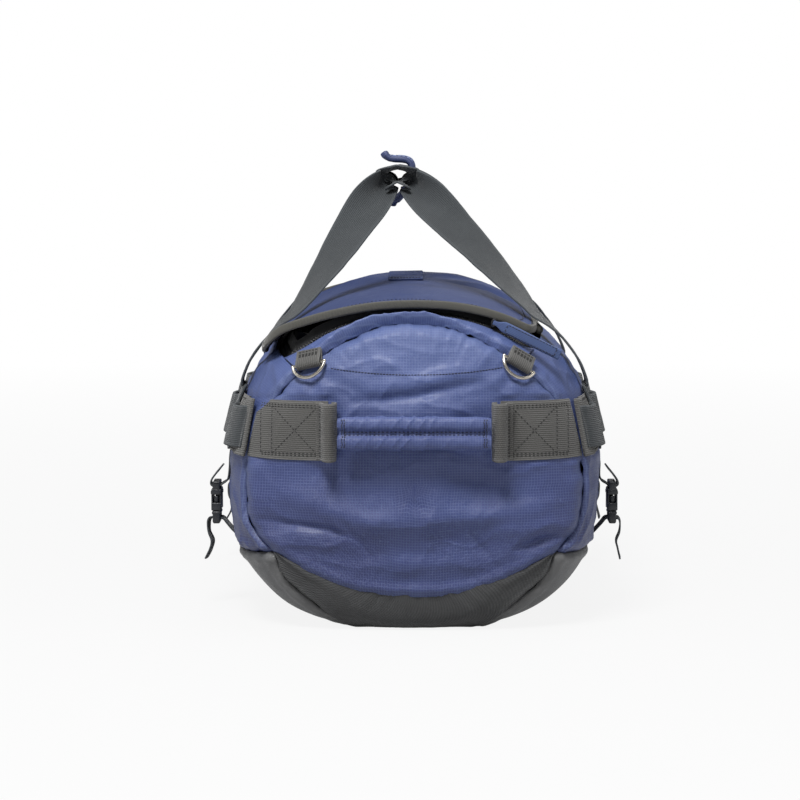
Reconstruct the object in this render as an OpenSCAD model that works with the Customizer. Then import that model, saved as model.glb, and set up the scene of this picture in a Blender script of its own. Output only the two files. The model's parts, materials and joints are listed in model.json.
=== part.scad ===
// Soft expedition duffel bag, stuffed full and standing on its base, with the lid closed.
// X runs across the bag, Y along it (the near end is at -Y) and Z up; the origin is on the
// ground under the middle. Fabric panels are cut from one rounded skin, so each piece takes
// its place from the same functions.

/* [Body] */
// Length of the stuffed body over its two crowned ends
body_l = 640; // [540:1:760]
// Width of the body at its waist, the widest line
body_w = 324; // [270:1:380]
// Height of the body under the closed lid
body_h = 282; // [240:1:340]
// Height of the waist above the ground
waist_z = 125; // [104:1:150]
// Extra crown in the middle of each end
end_dome = 12; // [4:0.5:20]
// Thickness of a coated fabric panel with its backing
cloth_t = 2.6; // [2:0.1:3.2]

/* [Lid and zip] */
// Length of the lid along the bag
lid_l = 548; // [440:1:640]
// Distance from the middle of the bag to the hinge fold of the lid
hinge_x = 108; // [90:1:120]
// Overhang of the lid from the middle of the bag on the side that opens
lid_reach = 128; // [105:1:134]
// Length of the hinge fold
hinge_l = 400; // [320:1:420]
// Radius of the hinge fold
hinge_r = 4; // [3:0.1:5]
// Thickness of the padded lid
lid_t = 4; // [3:0.1:5]
// Lift of the lid's inner face above the skin of the body
lid_lift = 1; // [0.8:0.1:2]
// Corner radius of the lid
lid_corner = 32; // [26:1:50]
// Lift of the two short edges of the lid, which leaves room for the slider
end_lift = 4; // [3.6:0.1:6]
// Height of the woven binding along the edge of the lid
binding_w = 6; // [4:0.1:8]
// Thickness of the binding
binding_t = 2.4; // [1.6:0.1:3]
// Width of one half of the zip with its tape
zip_w = 10.6; // [9:0.1:12]
// Thickness of the zip chain
chain_t = 2.2; // [1.8:0.1:3]
// Space between the two halves of the chain
chain_gap = 1.8; // [1.6:0.1:2.4]
// Length of the webbing pull
pull_l = 62; // [40:1:80]
// Width of the webbing pull
pull_w = 9; // [6:0.5:12]

/* [Webbing] */
// Width of the webbing along the sides and on the ends
band_w = 50; // [38:1:60]
// Thickness of the webbing
web_t = 2; // [1.4:0.1:2.6]
// Height of the middle of the webbing above the ground
band_z = 170; // [150:1:190]
// Width of the lash loops
lash_w = 36; // [25:1:44]
// Length of one lash loop along the bag
lash_l = 62; // [45:1:72]
// Clear depth behind a lash loop
lash_gap = 6; // [5:0.5:10]
// Lash loops along each side, counted between the carry handle ends
lash_n = 3; // [1:1:4]

/* [Carry handles] */
// Width of the carry handle webbing
handle_w = 38; // [25:1:44]
// Distance from the middle of the bag to each end of a carry handle
handle_y = 200; // [170:1:225]
// Height of the two grips above the body
grip_rise = 100; // [80:1:140]
// Shift of the two grips towards the side that opens
grip_shift = 15; // [0:1:18]
// Half the length of the folded grip
grip_half = 85; // [70:1:100]
// Height of the folded grip
grip_w = 19; // [16:0.5:22]
// Thickness of the folded grip
grip_t = 7; // [5:0.5:8]
// Length of the grip wrap
wrap_l = 110; // [80:1:130]

/* [Grab handles] */
// Length of the padded sleeve on each end of the bag
grab_l = 130; // [110:1:150]
// Diameter of each of the two padded tubes
grab_d = 14; // [11:0.5:16]
// Finger space behind the sleeve
grab_gap = 10; // [8:0.5:16]

/* [Rings and buckles] */
// Inner width of a D-ring
ring_w = 26; // [20:0.5:32]
// Inner depth of a D-ring
ring_d = 11; // [9:0.5:14]
// Wire diameter of a D-ring
ring_wire = 3; // [2.4:0.1:4]
// Width of the compression straps
strap_w = 20; // [16:1:25]
// Distance from the middle of the bag to each compression strap
strap_y = 150; // [120:1:160]
// Height of the buckle socket
socket_h = 26; // [22:0.5:32]
// Wall of the buckle socket
socket_wall = 1.6; // [1.2:0.1:2]
// Travel that frees the plug from its socket
plug_travel = 22; // [18:0.5:26]

/* [Inside] */
// Thickness of the foam pad on the floor of the bag
pad_t = 5; // [3:0.5:8]

/* [Hidden] */
half_l = body_l / 2 - end_dome;
half_w = body_w / 2;
// roundness of the skin: seen from above, from the side over and under the waist, and across it
plan_n = 6;
side_n = 8;
foot_n = 14;
top_n = 2.2;
base_n = 2.8;
// the base is cut flat this far up, and the top falls by this share towards the ends
flat = 3;
fall = 0.045;
// soft pieces stay this far from what they may move past or are sewn beside
clear = 0.4;
seam = 0.3;
blue = [0.29, 0.34, 0.58];
grey = [0.37, 0.37, 0.36];
charcoal = [0.27, 0.27, 0.27];
base_grey = [0.30, 0.30, 0.31];
nickel = [0.75, 0.74, 0.71];
plastic = [0.1, 0.1, 0.11];

// ---- the skin ----
function spow(v, e) = sign(v) * pow(abs(v), e);
function kx(y) = pow(max(0, 1 - pow(abs(y) / half_l, plan_n)), 1 / plan_n);
function kz(y, top) =
    let (n = top ? side_n : foot_n)
    pow(max(0, 1 - pow(abs(y) / half_l, n)), 1 / n) * (top ? 1 - fall * pow(y / half_l, 2) : 1);
function full_h(top) = top ? body_h - waist_z : waist_z + flat;
// station whose height at the angle a is the share k of the full height
function under(a) = max(0, -sin(a));
function station(k, a) =
    let (n = plan_n + ((sin(a) < 0 ? foot_n : side_n) - plan_n) * pow(sin(a), 2))
    half_l * pow(1 - pow(k, n), 1 / n);
// point at station y and angle a (0 right, 90 top, 180 left, 270 under), pushed out by o
function skin(y, a, o = 0) =
    let (top = sin(a) >= 0,
         e = 2 / (top ? top_n : base_n),
         h = full_h(top) * kz(y, top) + o)
    [(half_w * kx(y) + o) * spow(cos(a), e), y * (half_l + o) / half_l,
        max(-o, waist_z + h * spow(sin(a), e))];
// angle at which the middle section reaches x (from the right) or the height z
function angle_at_x(x) = acos(pow(x / half_w, top_n / 2));
function angle_at_z(z) =
    let (top = z >= waist_z)
    (top ? 1 : -1) * asin(pow(abs(z - waist_z) / full_h(top), (top ? top_n : base_n) / 2));
// height of the skin over (x, y), and its half width at the height z and station y
function top_z(x, y, o = 0) =
    waist_z + (full_h(true) * kz(y, true) + o)
        * pow(max(0, 1 - pow(abs(x) / (half_w * kx(y) + o), top_n)), 1 / top_n);
function side_x(z, y, o = 0) =
    let (top = z >= waist_z,
         n = top ? top_n : base_n,
         h = full_h(top) * kz(y, top) + o)
    (half_w * kx(y) + o) * pow(max(0, 1 - pow(abs(z - waist_z) / h, n)), 1 / n);
// the stuffing crowns the middle of each end a little more
function dome(x, z) =
    let (top = z >= waist_z,
         n = top ? top_n : base_n,
         k = pow(pow(abs(x) / half_w, n) + pow(abs(z - waist_z) / full_h(top), n), 1 / n))
    end_dome * pow(1 - pow(min(1, k / 0.85), 2), 2);
// distance of the crowned end from the middle, at x across and z up, found by halving
function end_y(x, z, o = 0, low = 0, high = half_l, left = 22) =
    left == 0 ? (low + high) / 2 * (half_l + o) / half_l + dome(x, z)
    : let (y = (low + high) / 2)
      side_x(z, y, o) > abs(x) ? end_y(x, z, o, y, high, left - 1)
      : end_y(x, z, o, low, y, left - 1);

// seam of the end panel, as a share of the section, and the seam between its cloth and the base cap
base_a = -angle_at_z(waist_z / 2);
hinge_a = angle_at_x(hinge_x + hinge_r - 0.4);
zip_a = 180 - angle_at_x(lid_reach - 7);
function notch(a) = exp(-pow((asin(under(a)) - base_a) / 8, 2));
function end_share(a) = 0.83 + 0.06 * pow(cos(2 * a), 2) + 0.105 * pow(under(a), 2) - 0.055 * notch(a);
function cap_share(a) = 0.748 + 0.07 * pow((1 - under(a)) / (1 - sin(base_a)), 4);
function seam_y(a) = station(end_share(a), a);

// ---- solids from grids of points ----
function grid_faces(r, c, first, turn) = [
    for (i = [0 : r - 2], j = [0 : c - 2])
        let (p = first + i * c + j)
        each turn ? [[p, p + c + 1, p + 1], [p, p + c, p + c + 1]]
                  : [[p, p + 1, p + c + 1], [p, p + c + 1, p + c]]
];
// closed sheet between an outer and an inner grid; rows run towards +Y, columns up the right side
module sheet(outer, inner) {
    r = len(outer);
    c = len(outer[0]);
    n = r * c;
    rim = concat(
        [for (j = [0 : c - 2]) [j, j + 1]],
        [for (i = [0 : r - 2]) [(i + 1) * c - 1, (i + 2) * c - 1]],
        [for (j = [c - 1 : -1 : 1]) [(r - 1) * c + j, (r - 1) * c + j - 1]],
        [for (i = [r - 1 : -1 : 1]) [i * c, (i - 1) * c]]
    );
    polyhedron(
        concat([for (row = outer) each row], [for (row = inner) each row]),
        concat(
            grid_faces(r, c, 0, false),
            grid_faces(r, c, n, true),
            [for (e = rim) each [[e[1], e[0], e[0] + n], [e[1], e[0] + n, e[1] + n]]]
        )
    );
}
// closed crowned cap from rings that start at its rim and end at its middle
module crown(outer, inner) {
    r = len(outer);
    c = len(outer[0]);
    n = r * c + 1;
    mid = function (rings) [for (k = [0 : 2]) (rings[r - 1][0][k] + rings[r - 1][floor(c / 2)][k]) / 2];
    side = function (first, turn) concat(
        [for (i = [0 : r - 2], j = [0 : c - 1])
            let (p = first + i * c + j, q = first + i * c + (j + 1) % c)
            each turn ? [[p, q + c, q], [p, p + c, q + c]] : [[p, q, q + c], [p, q + c, p + c]]],
        [for (j = [0 : c - 1])
            let (p = first + (r - 1) * c + j, q = first + (r - 1) * c + (j + 1) % c)
            turn ? [p, first + n - 1, q] : [p, q, first + n - 1]]
    );
    polyhedron(
        concat([for (ring = outer) each ring], [mid(outer)], [for (ring = inner) each ring], [mid(inner)]),
        concat(
            side(0, true),
            side(n, false),
            [for (j = [0 : c - 1])
                let (q = (j + 1) % c)
                each [[q, j + n, j], [q, q + n, j + n]]]
        )
    );
}
// cloth panel over the angles in as, with its rows at the shares f of the station first(a) to last(a)
module panel(as, first, last, f, out = 0, t = cloth_t) {
    rows = function (o) [
        for (v = f) [for (a = as) skin(first(a) + (last(a) - first(a)) * v, a, o)]
    ];
    sheet(rows(out), rows(out - t));
}
function steps(a, b, n) = [for (i = [0 : n]) a + (b - a) * i / n];
// shares from 0 to 1 that lie closer together at both ends
function eased(n) = [for (i = [0 : n]) (1 - cos(180 * i / n)) / 2];

// ---- straps ----
function unit(v) = v / norm(v);
function along(p, i) = unit(p[min(i + 1, len(p) - 1)] - p[max(i - 1, 0)]);
// flat strap along the points p, its width along w at each point, sizes given point by point;
// only the length from the point first to the point last is made
module strap(p, w, width, thick, first = 0, last = -1) {
    m = last < 0 ? len(p) - 1 : last;
    n = m - first + 1;
    ring = [for (i = [first : m])
        let (nrm = unit(cross(along(p, i), w[i])),
             wid = unit(cross(nrm, along(p, i))) * width[i] / 2,
             up = nrm * thick[i] / 2)
        each [p[i] - wid - up, p[i] + wid - up, p[i] + wid + up, p[i] - wid + up]];
    polyhedron(ring, concat(
        // a twisted strap is cut along the same diagonal on both of its faces
        [for (i = [0 : n - 2], k = [0 : 3])
            let (a = 4 * i + k, b = 4 * i + (k + 1) % 4)
            each k == 2 ? [[a, a + 4, b], [a + 4, b + 4, b]] : [[a, a + 4, b + 4], [a, b + 4, b]]],
        [[0, 1, 2], [0, 2, 3], [4 * n - 4, 4 * n - 2, 4 * n - 3], [4 * n - 4, 4 * n - 1, 4 * n - 2]]
    ));
}
function every(v, p) = [for (q = p) v];

// ---- body panels ----
module end_panel() color(blue) {
    ks = [1, 0.96, 0.9, 0.82, 0.7, 0.54, 0.34, 0.14];
    rim = function (a) under(a) > sin(base_a) ? cap_share(a) : end_share(a);
    rings = function (o) [
        for (k = ks) [for (a = [0 : 7.5 : 352.5])
            let (p = skin(-station(rim(a) * k, a), a, o))
            p - [0, dome(p[0], p[2]), 0]]
    ];
    crown(rings(0), rings(-cloth_t));
}
module base_cap() color(base_grey)
    panel(steps(180 + base_a, 360 - base_a, 20),
        function (a) seam - station(cap_share(a), a), function (a) -seam_y(a) - seam, steps(0, 1, 4));
module near_end_panel() end_panel();
module far_end_panel() mirror([0, 1, 0]) end_panel();
module near_base_cap() base_cap();
module far_base_cap() mirror([0, 1, 0]) base_cap();
module base_panel() color(base_grey)
    panel(steps(180 + base_a + 0.2, 360 - base_a - 0.2, 24),
        function (a) -seam_y(a) + seam, function (a) seam_y(a) - seam, eased(16));
module side_panel(from_a, to_a) color(blue)
    panel(steps(from_a, to_a, 10), function (a) -seam_y(a) + seam, function (a) seam_y(a) - seam, eased(16));
module left_side_panel() side_panel(zip_a, 180 + base_a);
module right_side_panel() side_panel(-base_a, hinge_a);
// the cloth strip between the end panel and the zip; its upper edge turns the corners of the lid
chain_y = lid_l / 2 - 1.4;
zip_y = chain_y + 6;
arc_x = lid_reach - 48;
turn_r = 16;
turn_a = acos(pow((arc_x + 2) / (half_w * kx(zip_y)), top_n / 2));
function corner(a) = min(1, max(0, (abs(a - 90) + turn_a - 90) / ((a > 90 ? zip_a - 90 : 90 - hinge_a) + turn_a - 90)));
function gusset_y(a) = zip_y - turn_r * (1 - sqrt(1 - pow(corner(a), 2)));
module zip_gusset() color(blue) {
    as = concat(steps(hinge_a + 0.2, turn_a - 0.5, 5), steps(turn_a + 2, 178 - turn_a, 12),
        steps(180.5 - turn_a, zip_a - 0.2, 6));
    panel(as, function (a) seam - seam_y(a), function (a) -gusset_y(a), steps(0, 1, 3));
}
module near_zip_gusset() zip_gusset();
module far_zip_gusset() mirror([0, 1, 0]) zip_gusset();
module base_pad() color([0.2, 0.2, 0.21])
    panel(steps(226, 314, 16), function (a) -0.38 * body_l, function (a) 0.38 * body_l, steps(0, 1, 8),
        -cloth_t - 0.6, pad_t);

// ---- lid ----
function lid_left(y) =
    let (d = max(0, abs(y) - (lid_l / 2 - lid_corner)))
    -lid_reach + lid_corner - sqrt(max(0, pow(lid_corner, 2) - d * d));
function lid_right(y) =
    let (d = max(0, abs(y) - hinge_l / 2) / (lid_l / 2 - hinge_l / 2))
    hinge_x - hinge_r - clear - 10 * (1 - sqrt(max(0, 1 - d * d)));
// the stiff lid bridges the rounded corners of the body, and its free corners stand out
function lid_z(x, y, o) =
    waist_z + (full_h(true) * kz(y, true) + o) * pow(max(0, 1 - pow(abs(x) / (half_w + o), top_n)), 1 / top_n)
        + pow(abs(y) / (lid_l / 2), 10) * (end_lift + (x < 0 ? 19 : 2) * pow(x / lid_reach, 4));
function lid_point(y, v, o) =
    let (x = lid_right(y) + (lid_left(y) - lid_right(y)) * v)
    [x, y, lid_z(x, y, o)];
lid_ys = [for (i = [0 : 24]) lid_l / 2 * sin(-90 + 180 * i / 24)];
module lid_sheet(out, t, share = 1, cols = 16) {
    rows = function (o) [
        for (y = lid_ys) [for (v = eased(cols)) lid_point(y * share, 0.5 + (v - 0.5) * share, o)]
    ];
    sheet(rows(out), rows(out - t));
}
module lid_panel() color(blue) lid_sheet(lid_lift + lid_t, lid_t);
module lid_mesh_pocket() color(charcoal) lid_sheet(lid_lift - 2 * seam, 1, 0.7, 12);
module lid_lash_patch() color(blue) translate([-8, 0, 0])
    rotate([90, 0, 0])
        linear_extrude(150, center = true)
            polygon(concat(
                [for (x = [-16 : 4 : 16]) [x, lid_z(x - 8, 0, lid_lift + lid_t) + seam]],
                [for (x = [16 : -4 : -16]) [x, lid_z(x - 8, 0, lid_lift + lid_t) + 3]]
            ));
// the edge of the lid from the near end of the hinge fold round to its far end
function edge_at(x, y, o) = [x, y, lid_z(x, y, o)];
function lid_edge(o) = let (
        half = lid_l / 2,
        start = hinge_l / 2 + 3,
        near = concat(
            [for (i = [0 : 7]) let (y = -start - (half - start) * sin(90 * i / 7))
                edge_at(lid_right(y), y, o)],
            [for (v = [0.08 : 0.084 : 0.93]) lid_point(-half, v, o)],
            [for (i = [0 : 6]) let (y = -half + lid_corner * (1 - cos(15 * i)), x = lid_left(y)) edge_at(x, y, o)]
        )
    ) concat(
        near,
        [for (i = [1 : 11]) let (y = (half - lid_corner) * (i / 6 - 1)) edge_at(-lid_reach, y, o)],
        [for (i = [len(near) - 1 : -1 : 0]) [near[i][0], -near[i][1], near[i][2]]]
    );
function turned_out(p, d) = [for (i = [0 : len(p) - 1])
    let (t = along(p, i), n = unit([-t[1], t[0]]))
    p[i] + [n[0], n[1], 0] * d];
module lid_binding() color(grey) {
    p = turned_out(lid_edge(lid_lift + lid_t / 2), binding_t / 2 + seam);
    strap(p, every([0, 0, 1], p), every(binding_w, p), every(binding_t, p));
}

// ---- zip ----
// on both ends the chain is a true arc, so that the slider can travel along it; in its section u
// runs inwards from the middle of the teeth of the body's half, and v out of the face
end_tilt = 43;
side_tilt = 54;
chain_in = 4.2;
teeth = 2.5;
half_mid = [teeth - zip_w / 2, teeth + chain_gap + zip_w / 2];
chain_top = top_z(0, chain_y, -chain_in);
chain_drop = chain_top - top_z(arc_x, chain_y, -chain_in);
arc_r = (arc_x * arc_x + chain_drop * chain_drop) / (2 * chain_drop);
arc_z = chain_top - arc_r;
// half k of the zip (0 on the body, 1 on the lid) as an arc, between two angles from the top
module chain_arc(k, from, to) translate([0, 0, arc_z]) rotate([-90, 0, 0]) rotate(-90 + from)
    rotate_extrude(angle = to - from, $fn = 180)
        translate([arc_r + half_mid[k] * sin(end_tilt), -chain_y + half_mid[k] * cos(end_tilt)])
            rotate(90 - end_tilt)
                square([zip_w, chain_t], center = true);
// the rest of the zip follows the edge of the cloth: a corner and a long side, on the left (-1)
// to the far end and on the right (1) only to the end of the hinge fold
function cloth_edge(way, a) =
    let (y = -gusset_y(a))
    [way * half_w * kx(y) * spow(abs(cos(a)), 2 / top_n), y];
function zip_line(way) = let (
        x = way < 0 ? lid_reach - 7 : hinge_x + hinge_r - 0.4,
        from = way < 0 ? 181 - turn_a : turn_a - 1,
        to = way < 0 ? zip_a : hinge_a,
        y0 = zip_y - turn_r,
        bend = [for (t = [0, 0.35, 0.6, 0.8, 0.92, 1]) cloth_edge(way, from + (to - from) * t)],
        line = way < 0
            ? [for (i = [1 : 11]) let (y = y0 * (i / 6 - 1)) [-x * kx(y), y]]
            : [for (y = steps(-y0 + 12, -hinge_l / 2 - 6, 3)) [x * kx(y), y]]
    ) way < 0 ? concat(bend, line, [for (i = [5 : -1 : 0]) [bend[i][0], -bend[i][1]]]) : concat(bend, line);
module zip_side(way, k) {
    e = zip_line(way);
    dirs = [for (i = [0 : len(e) - 1]) let (t = along(e, i)) way * [-t[1], t[0]] ];
    n = [for (d = dirs) let (tilt = end_tilt + (side_tilt - end_tilt) * abs(d[0]) + 20 * abs(d[0] * d[1]))
        [d[0] * cos(tilt), d[1] * cos(tilt), sin(tilt)]];
    p = [for (i = [0 : len(e) - 1])
        let (q = e[i] + (zip_y - chain_y) * dirs[i])
        [q[0], q[1], top_z(q[0], q[1], -chain_in - 0.7 * abs(dirs[i][0]))] + half_mid[k] * n[i]];
    strap(p, n, every(zip_w, p), every(chain_t, p));
}
module zip_half(k) {
    from = asin(arc_x / arc_r);
    for (way = [0, 1]) mirror([0, way, 0]) {
        chain_arc(k, -from, from);
        zip_side(1, k);
    }
    zip_side(-1, k);
}
module body_zip_half() color(charcoal) zip_half(0);
module lid_zip_half() color(charcoal) zip_half(1);
module hinge_fold() color(blue) translate([hinge_x, 0, hinge_z]) rotate([90, 0, 0])
    cylinder(r = hinge_r, h = hinge_l, center = true, $fn = 48);
hinge_z = top_z(hinge_x, 0);
// slider: a saddle over the teeth of the body's half, with an eye that reaches out under the lid
slider_x = 64;
slider_l = 12;
plate_t = 1.3;
saddle = chain_t / 2 + clear;
module at_slider() translate([0, 0, arc_z]) rotate([0, asin(slider_x / arc_r), 0])
    translate([0, -chain_y, arc_r]) children();
eye_y = -11;
eye_z = 8.5;
module zip_slider() color(plastic) at_slider() {
    rotate([end_tilt, 0, 0]) {
        for (s = [-1, 1])
            translate([-slider_l / 2, -1.8, s * (saddle + plate_t / 2) - plate_t / 2])
                cube([slider_l, teeth + 2.7, plate_t]);
        translate([-slider_l * 0.3, teeth + 0.3, -saddle - plate_t])
            cube([slider_l * 0.6, chain_gap - 0.6, 2 * saddle + 2 * plate_t]);
    }
    translate([-2, -2.4, 2.3]) cube([4, 2.6, 3.8]);
    translate([-2, eye_y - 0.9, 4.5]) cube([4, -eye_y, 1.6]);
    translate([0, eye_y, 0]) difference() {
        translate([-2.2, -0.9, 4.5]) cube([4.4, 1.8, 6.2]);
        translate([0, 0, eye_z]) rotate([90, 0, 0]) cylinder(d = 2.4, h = 6, center = true, $fn = 32);
    }
}
// the pull turns on a pin through the eye and lies over the shoulder of the bag
pull_a = 4;
module at_eye() at_slider() translate([0, eye_y, eye_z]) rotate([90, 0, 0]) children();
module zip_pull() color(blue) at_eye() {
    cylinder(d = 1.8, h = 5.4, center = true, $fn = 32);
    rotate(-pull_a) {
        for (s = [-1, 1]) {
            translate([-1.4, -1.6, s * 2.1 - 0.7]) cube([5.4, 3.2, 1.4]);
            translate([3.6, -pull_w / 2, s * 2.1 - 0.7]) cube([pull_l * 0.35, pull_w, 1.4]);
        }
        translate([3.6 + pull_l * 0.35, -pull_w / 2, -2.8]) cube([pull_l * 0.65 - 3.6, pull_w, 5.6]);
    }
}

// ---- webbing ----
band_out = web_t + 0.4;
module side_webbing() color(grey)
    panel(steps(angle_at_z(band_z - band_w / 2), angle_at_z(band_z + band_w / 2), 5),
        function (a) -seam_y(a) + 2, function (a) seam_y(a) - 2, eased(20), band_out, web_t);
module right_side_webbing() side_webbing();
module left_side_webbing() mirror([1, 0, 0]) side_webbing();
// angle of the seam at the height z, and how far across the end webbing reaches there
function seam_a(z, low = -20, high = 60, left = 16) =
    left == 0 ? (low + high) / 2
    : let (a = (low + high) / 2)
      skin(seam_y(a), a)[2] > z ? seam_a(z, low, a, left - 1) : seam_a(z, a, high, left - 1);
module end_webbing() color(grey) {
    tip = grab_l / 2 + 8;
    zs = steps(band_z - band_w / 2, band_z + band_w / 2, 4);
    wide = [for (z = zs) let (a = seam_a(z)) skin(seam_y(a) + 2.5, a)[0]];
    rows = function (o) [for (f = steps(0, 1, 14)) [for (j = [0 : 4])
        let (x = tip + (wide[j] - tip) * f)
        [x, -end_y(x, zs[j], o), zs[j]]]];
    for (s = [0, 1]) mirror([s, 0, 0]) sheet(rows(band_out), rows(0.4));
}
module near_end_webbing() end_webbing();
module far_end_webbing() mirror([0, 1, 0]) end_webbing();
// lash loops: between the handle ends, and one between each handle end and the seam
lash_pitch = (2 * handle_y - handle_w - 12) / max(1, lash_n);
lash_ends = handle_y + handle_w / 2 + 6;
side_end = seam_y(angle_at_z(band_z)) - 6;
lash_outer = side_end - lash_ends;
function loop_out(f) = lash_gap * sqrt(max(0, sin(180 * f)));
// slope of the side, upwards and along the bag
function lean(y) = (side_x(band_z + lash_w / 2, y) - side_x(band_z - lash_w / 2, y)) / lash_w;
function drift(z, y) = (side_x(z, y + handle_w / 2) - side_x(z, y - handle_w / 2)) / handle_w;
module lash_loop(y, l) {
    p = [for (f = eased(12)) let (q = y + (f - 0.5) * l, o = band_out + 1.5 + web_t / 2 + loop_out(f))
        [side_x(band_z, q) + o * norm([1, drift(band_z, q)]), q, band_z]];
    strap(p, [for (q = p) [lean(q[1]), 0, 1]], every(lash_w, p), every(web_t, p));
}
module lash_loops() color(charcoal) {
    for (i = [0 : lash_n - 1])
        lash_loop((i - (lash_n - 1) / 2) * lash_pitch, min(lash_l, lash_pitch - 4));
    for (s = [-1, 1]) lash_loop(s * (lash_ends + lash_outer / 2), lash_outer);
}
module right_lash_loops() lash_loops();
module left_lash_loops() mirror([1, 0, 0]) lash_loops();

// ---- carry handles ----
root_z = band_z + band_w / 2 + 3;
root_x = side_x(root_z, handle_y) + band_out + web_t / 2 + 1;
grip_z = body_h + grip_rise;
module handle_roots() color(charcoal) for (s = [-1, 1]) {
    zs = steps(band_z - band_w / 2 + 3, root_z - 2.6, 5);
    o = band_out + 0.6 + web_t / 2;
    p = [for (z = zs) [side_x(z, handle_y) + o, s * handle_y, z]];
    strap(p, [for (z = zs) [drift(z, s * handle_y), 1, 0]], every(handle_w, p), every(web_t, p));
    translate([root_x, s * handle_y, root_z]) rotate([90, 0, 0])
        cylinder(r = 1.8, h = handle_w, center = true, $fn = 32);
}
module right_handle_roots() handle_roots();
module left_handle_roots() mirror([1, 0, 0]) handle_roots();
// way is 1 on the right and -1 on the left; the grip of each lies beside the other's
shoulder_a = 54;
function handle_half(way) = let (
        a0 = angle_at_z(root_z + 6),
        gx = -grip_shift + way * (grip_t / 2 + clear),
        rise = [for (i = [0 : 5]) let (a = a0 + (shoulder_a - a0) * i / 5, f = i / 5,
                p = skin(-handle_y, a, 7.6 + 5 * sqrt(f)))
            [way * p[0], -handle_y + 12 * f * f, p[2]]],
        b = rise[5],
        g = [gx, -grip_half, grip_z],
        k1 = b + [-way * 28, 10, 30],
        k2 = [gx + way * 20, -grip_half - 36, grip_z - 14],
        arch = [for (i = [1 : 9]) let (f = i / 9, h = 1 - f)
            b * h * h * h + 3 * k1 * h * h * f + 3 * k2 * h * f * f + g * f * f * f]
    ) concat([[way * (root_x + 0.2), -handle_y, root_z + 2.6]], rise, arch);
// the arch and the grip keep their shape; below the point leg_n the webbing legs bend
leg_n = 9;
module handle(way, legs = false) {
    half = handle_half(way);
    n = len(half);
    turn = function (i) 75 * pow(min(1, max(0, (i - 4) / (n - 7))), 1.3);
    slim = function (i) min(1, max(0, (i - n + 5) / 4));
    w_half = [for (i = [0 : n - 1]) [way * sin(turn(i)) * 0.8 * (1 - slim(i)), cos(turn(i)), sin(turn(i)) * (0.6 + 0.4 * slim(i))]];
    wid = [for (i = [0 : n - 1]) handle_w + (grip_w - handle_w) * slim(i)];
    thk = [for (i = [0 : n - 1]) web_t + (grip_t - web_t) * slim(i)];
    back = function (v) [for (i = [n - 1 : -1 : 0]) v[i]];
    flip = function (v) [for (q = back(v)) [q[0], -q[1], q[2]]];
    // first and last points of what is made
    spans = legs ? [[0, leg_n], [2 * n - 1 - leg_n, 2 * n - 1]] : [[leg_n, 2 * n - 1 - leg_n]];
    color(charcoal) for (q = spans)
        strap(concat(half, flip(half)), concat(w_half, flip(w_half)),
            concat(wid, back(wid)), concat(thk, back(thk)), q[0], q[1]);
}
module right_handle() handle(1);
module left_handle() handle(-1);
module right_handle_legs() handle(1, true);
module left_handle_legs() handle(-1, true);
// the wrap rides on the right grip and is open towards the left one
module grip_wrap() color(blue) {
    top = grip_w / 2 + 4;
    side = grip_t + 2 * clear + 0.8;
    p = [for (q = [
            [-side - 9, top - 1], [-side, top + 0.6], [0, top + 0.8], [side, top], [side + 3, top - 4],
            [side + 1, 2], [side, -2], [side, -top + 3], [side - 3, -top - 1.5], [1, -top - 8], [-4, -top - 13]
        ]) [q[0] - grip_shift, 0, q[1] + grip_z]];
    strap(p, every([0, 1, 0], p), every(wrap_l, p), every(1.6, p));
}

// ---- grab handles ----
grab_y = end_y(0, band_z) + grab_gap + grab_d / 2;
module grab_sleeve() color(blue) for (s = [-1, 1])
    translate([0, -grab_y, band_z + s * (grab_d / 2 + 0.1)]) rotate([0, 90, 0])
        cylinder(d = grab_d, h = grab_l, center = true, $fn = 40);
module near_grab_sleeve() grab_sleeve();
module far_grab_sleeve() mirror([0, 1, 0]) grab_sleeve();
module grab_loops() color(grey) for (s = [0, 1]) mirror([s, 0, 0]) {
    x = grab_l / 2;
    y0 = end_y(x + 8, band_z, band_out + seam + web_t / 2);
    p = [
        [x + 28, -end_y(x + 28, band_z, band_out + web_t / 2) - 0.8, band_z],
        [x + 14, -y0 - 1, band_z], [x + 8, -y0 - 2, band_z],
        [x + 3.8, -(y0 + grab_y) / 2, band_z], [x + 3.4, -grab_y + 3, band_z], [x + 1.4, -grab_y, band_z]
    ];
    strap(p, every([0, 0, 1], p), every(grab_d * 2 - 2, p), every(web_t, p));
}
module near_grab_loops() grab_loops();
module far_grab_loops() mirror([0, 1, 0]) grab_loops();

// ---- D-rings ----
ring_r = ring_wire / 2;
tab_l = 10;
ring_out = ring_r + 0.3 + web_t + 0.5;
// across, up and tilt of each ring on an end
ring_left = [-87, 223, -14];
ring_right = [86, 223, 36];
module on_end(at) {
    y = end_y(at[0], at[1]);
    dz = (end_y(at[0], at[1] + 3) - end_y(at[0], at[1] - 3)) / 6;
    dx = (end_y(at[0] + 3, at[1]) - end_y(at[0] - 3, at[1])) / 6;
    translate([at[0], -y, at[1]])
        rotate([0, 0, atan(dx) * -1]) rotate([-atan(dz) * -1, 0, 0]) rotate([0, at[2], 0])
            translate([0, -ring_out, 0]) children();
}
module ring() color(nickel) {
    arm = ring_w / 2 + ring_r;
    rotate([0, 90, 0]) cylinder(r = ring_r, h = 2 * arm, center = true, $fn = 32);
    deep = ring_d + ring_r;
    bow = (arm * arm + deep * deep) / (2 * deep);
    reach = acos((bow - deep) / bow);
    translate([0, 0, bow - deep]) rotate([90, 0, 0]) rotate(-90 - reach) rotate_extrude(angle = 2 * reach, $fn = 96)
        translate([bow, 0]) circle(r = ring_r, $fn = 32);
    for (s = [-1, 1]) translate([s * arm, 0, 0]) sphere(r = ring_r * 1.08, $fn = 32);
}
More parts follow.
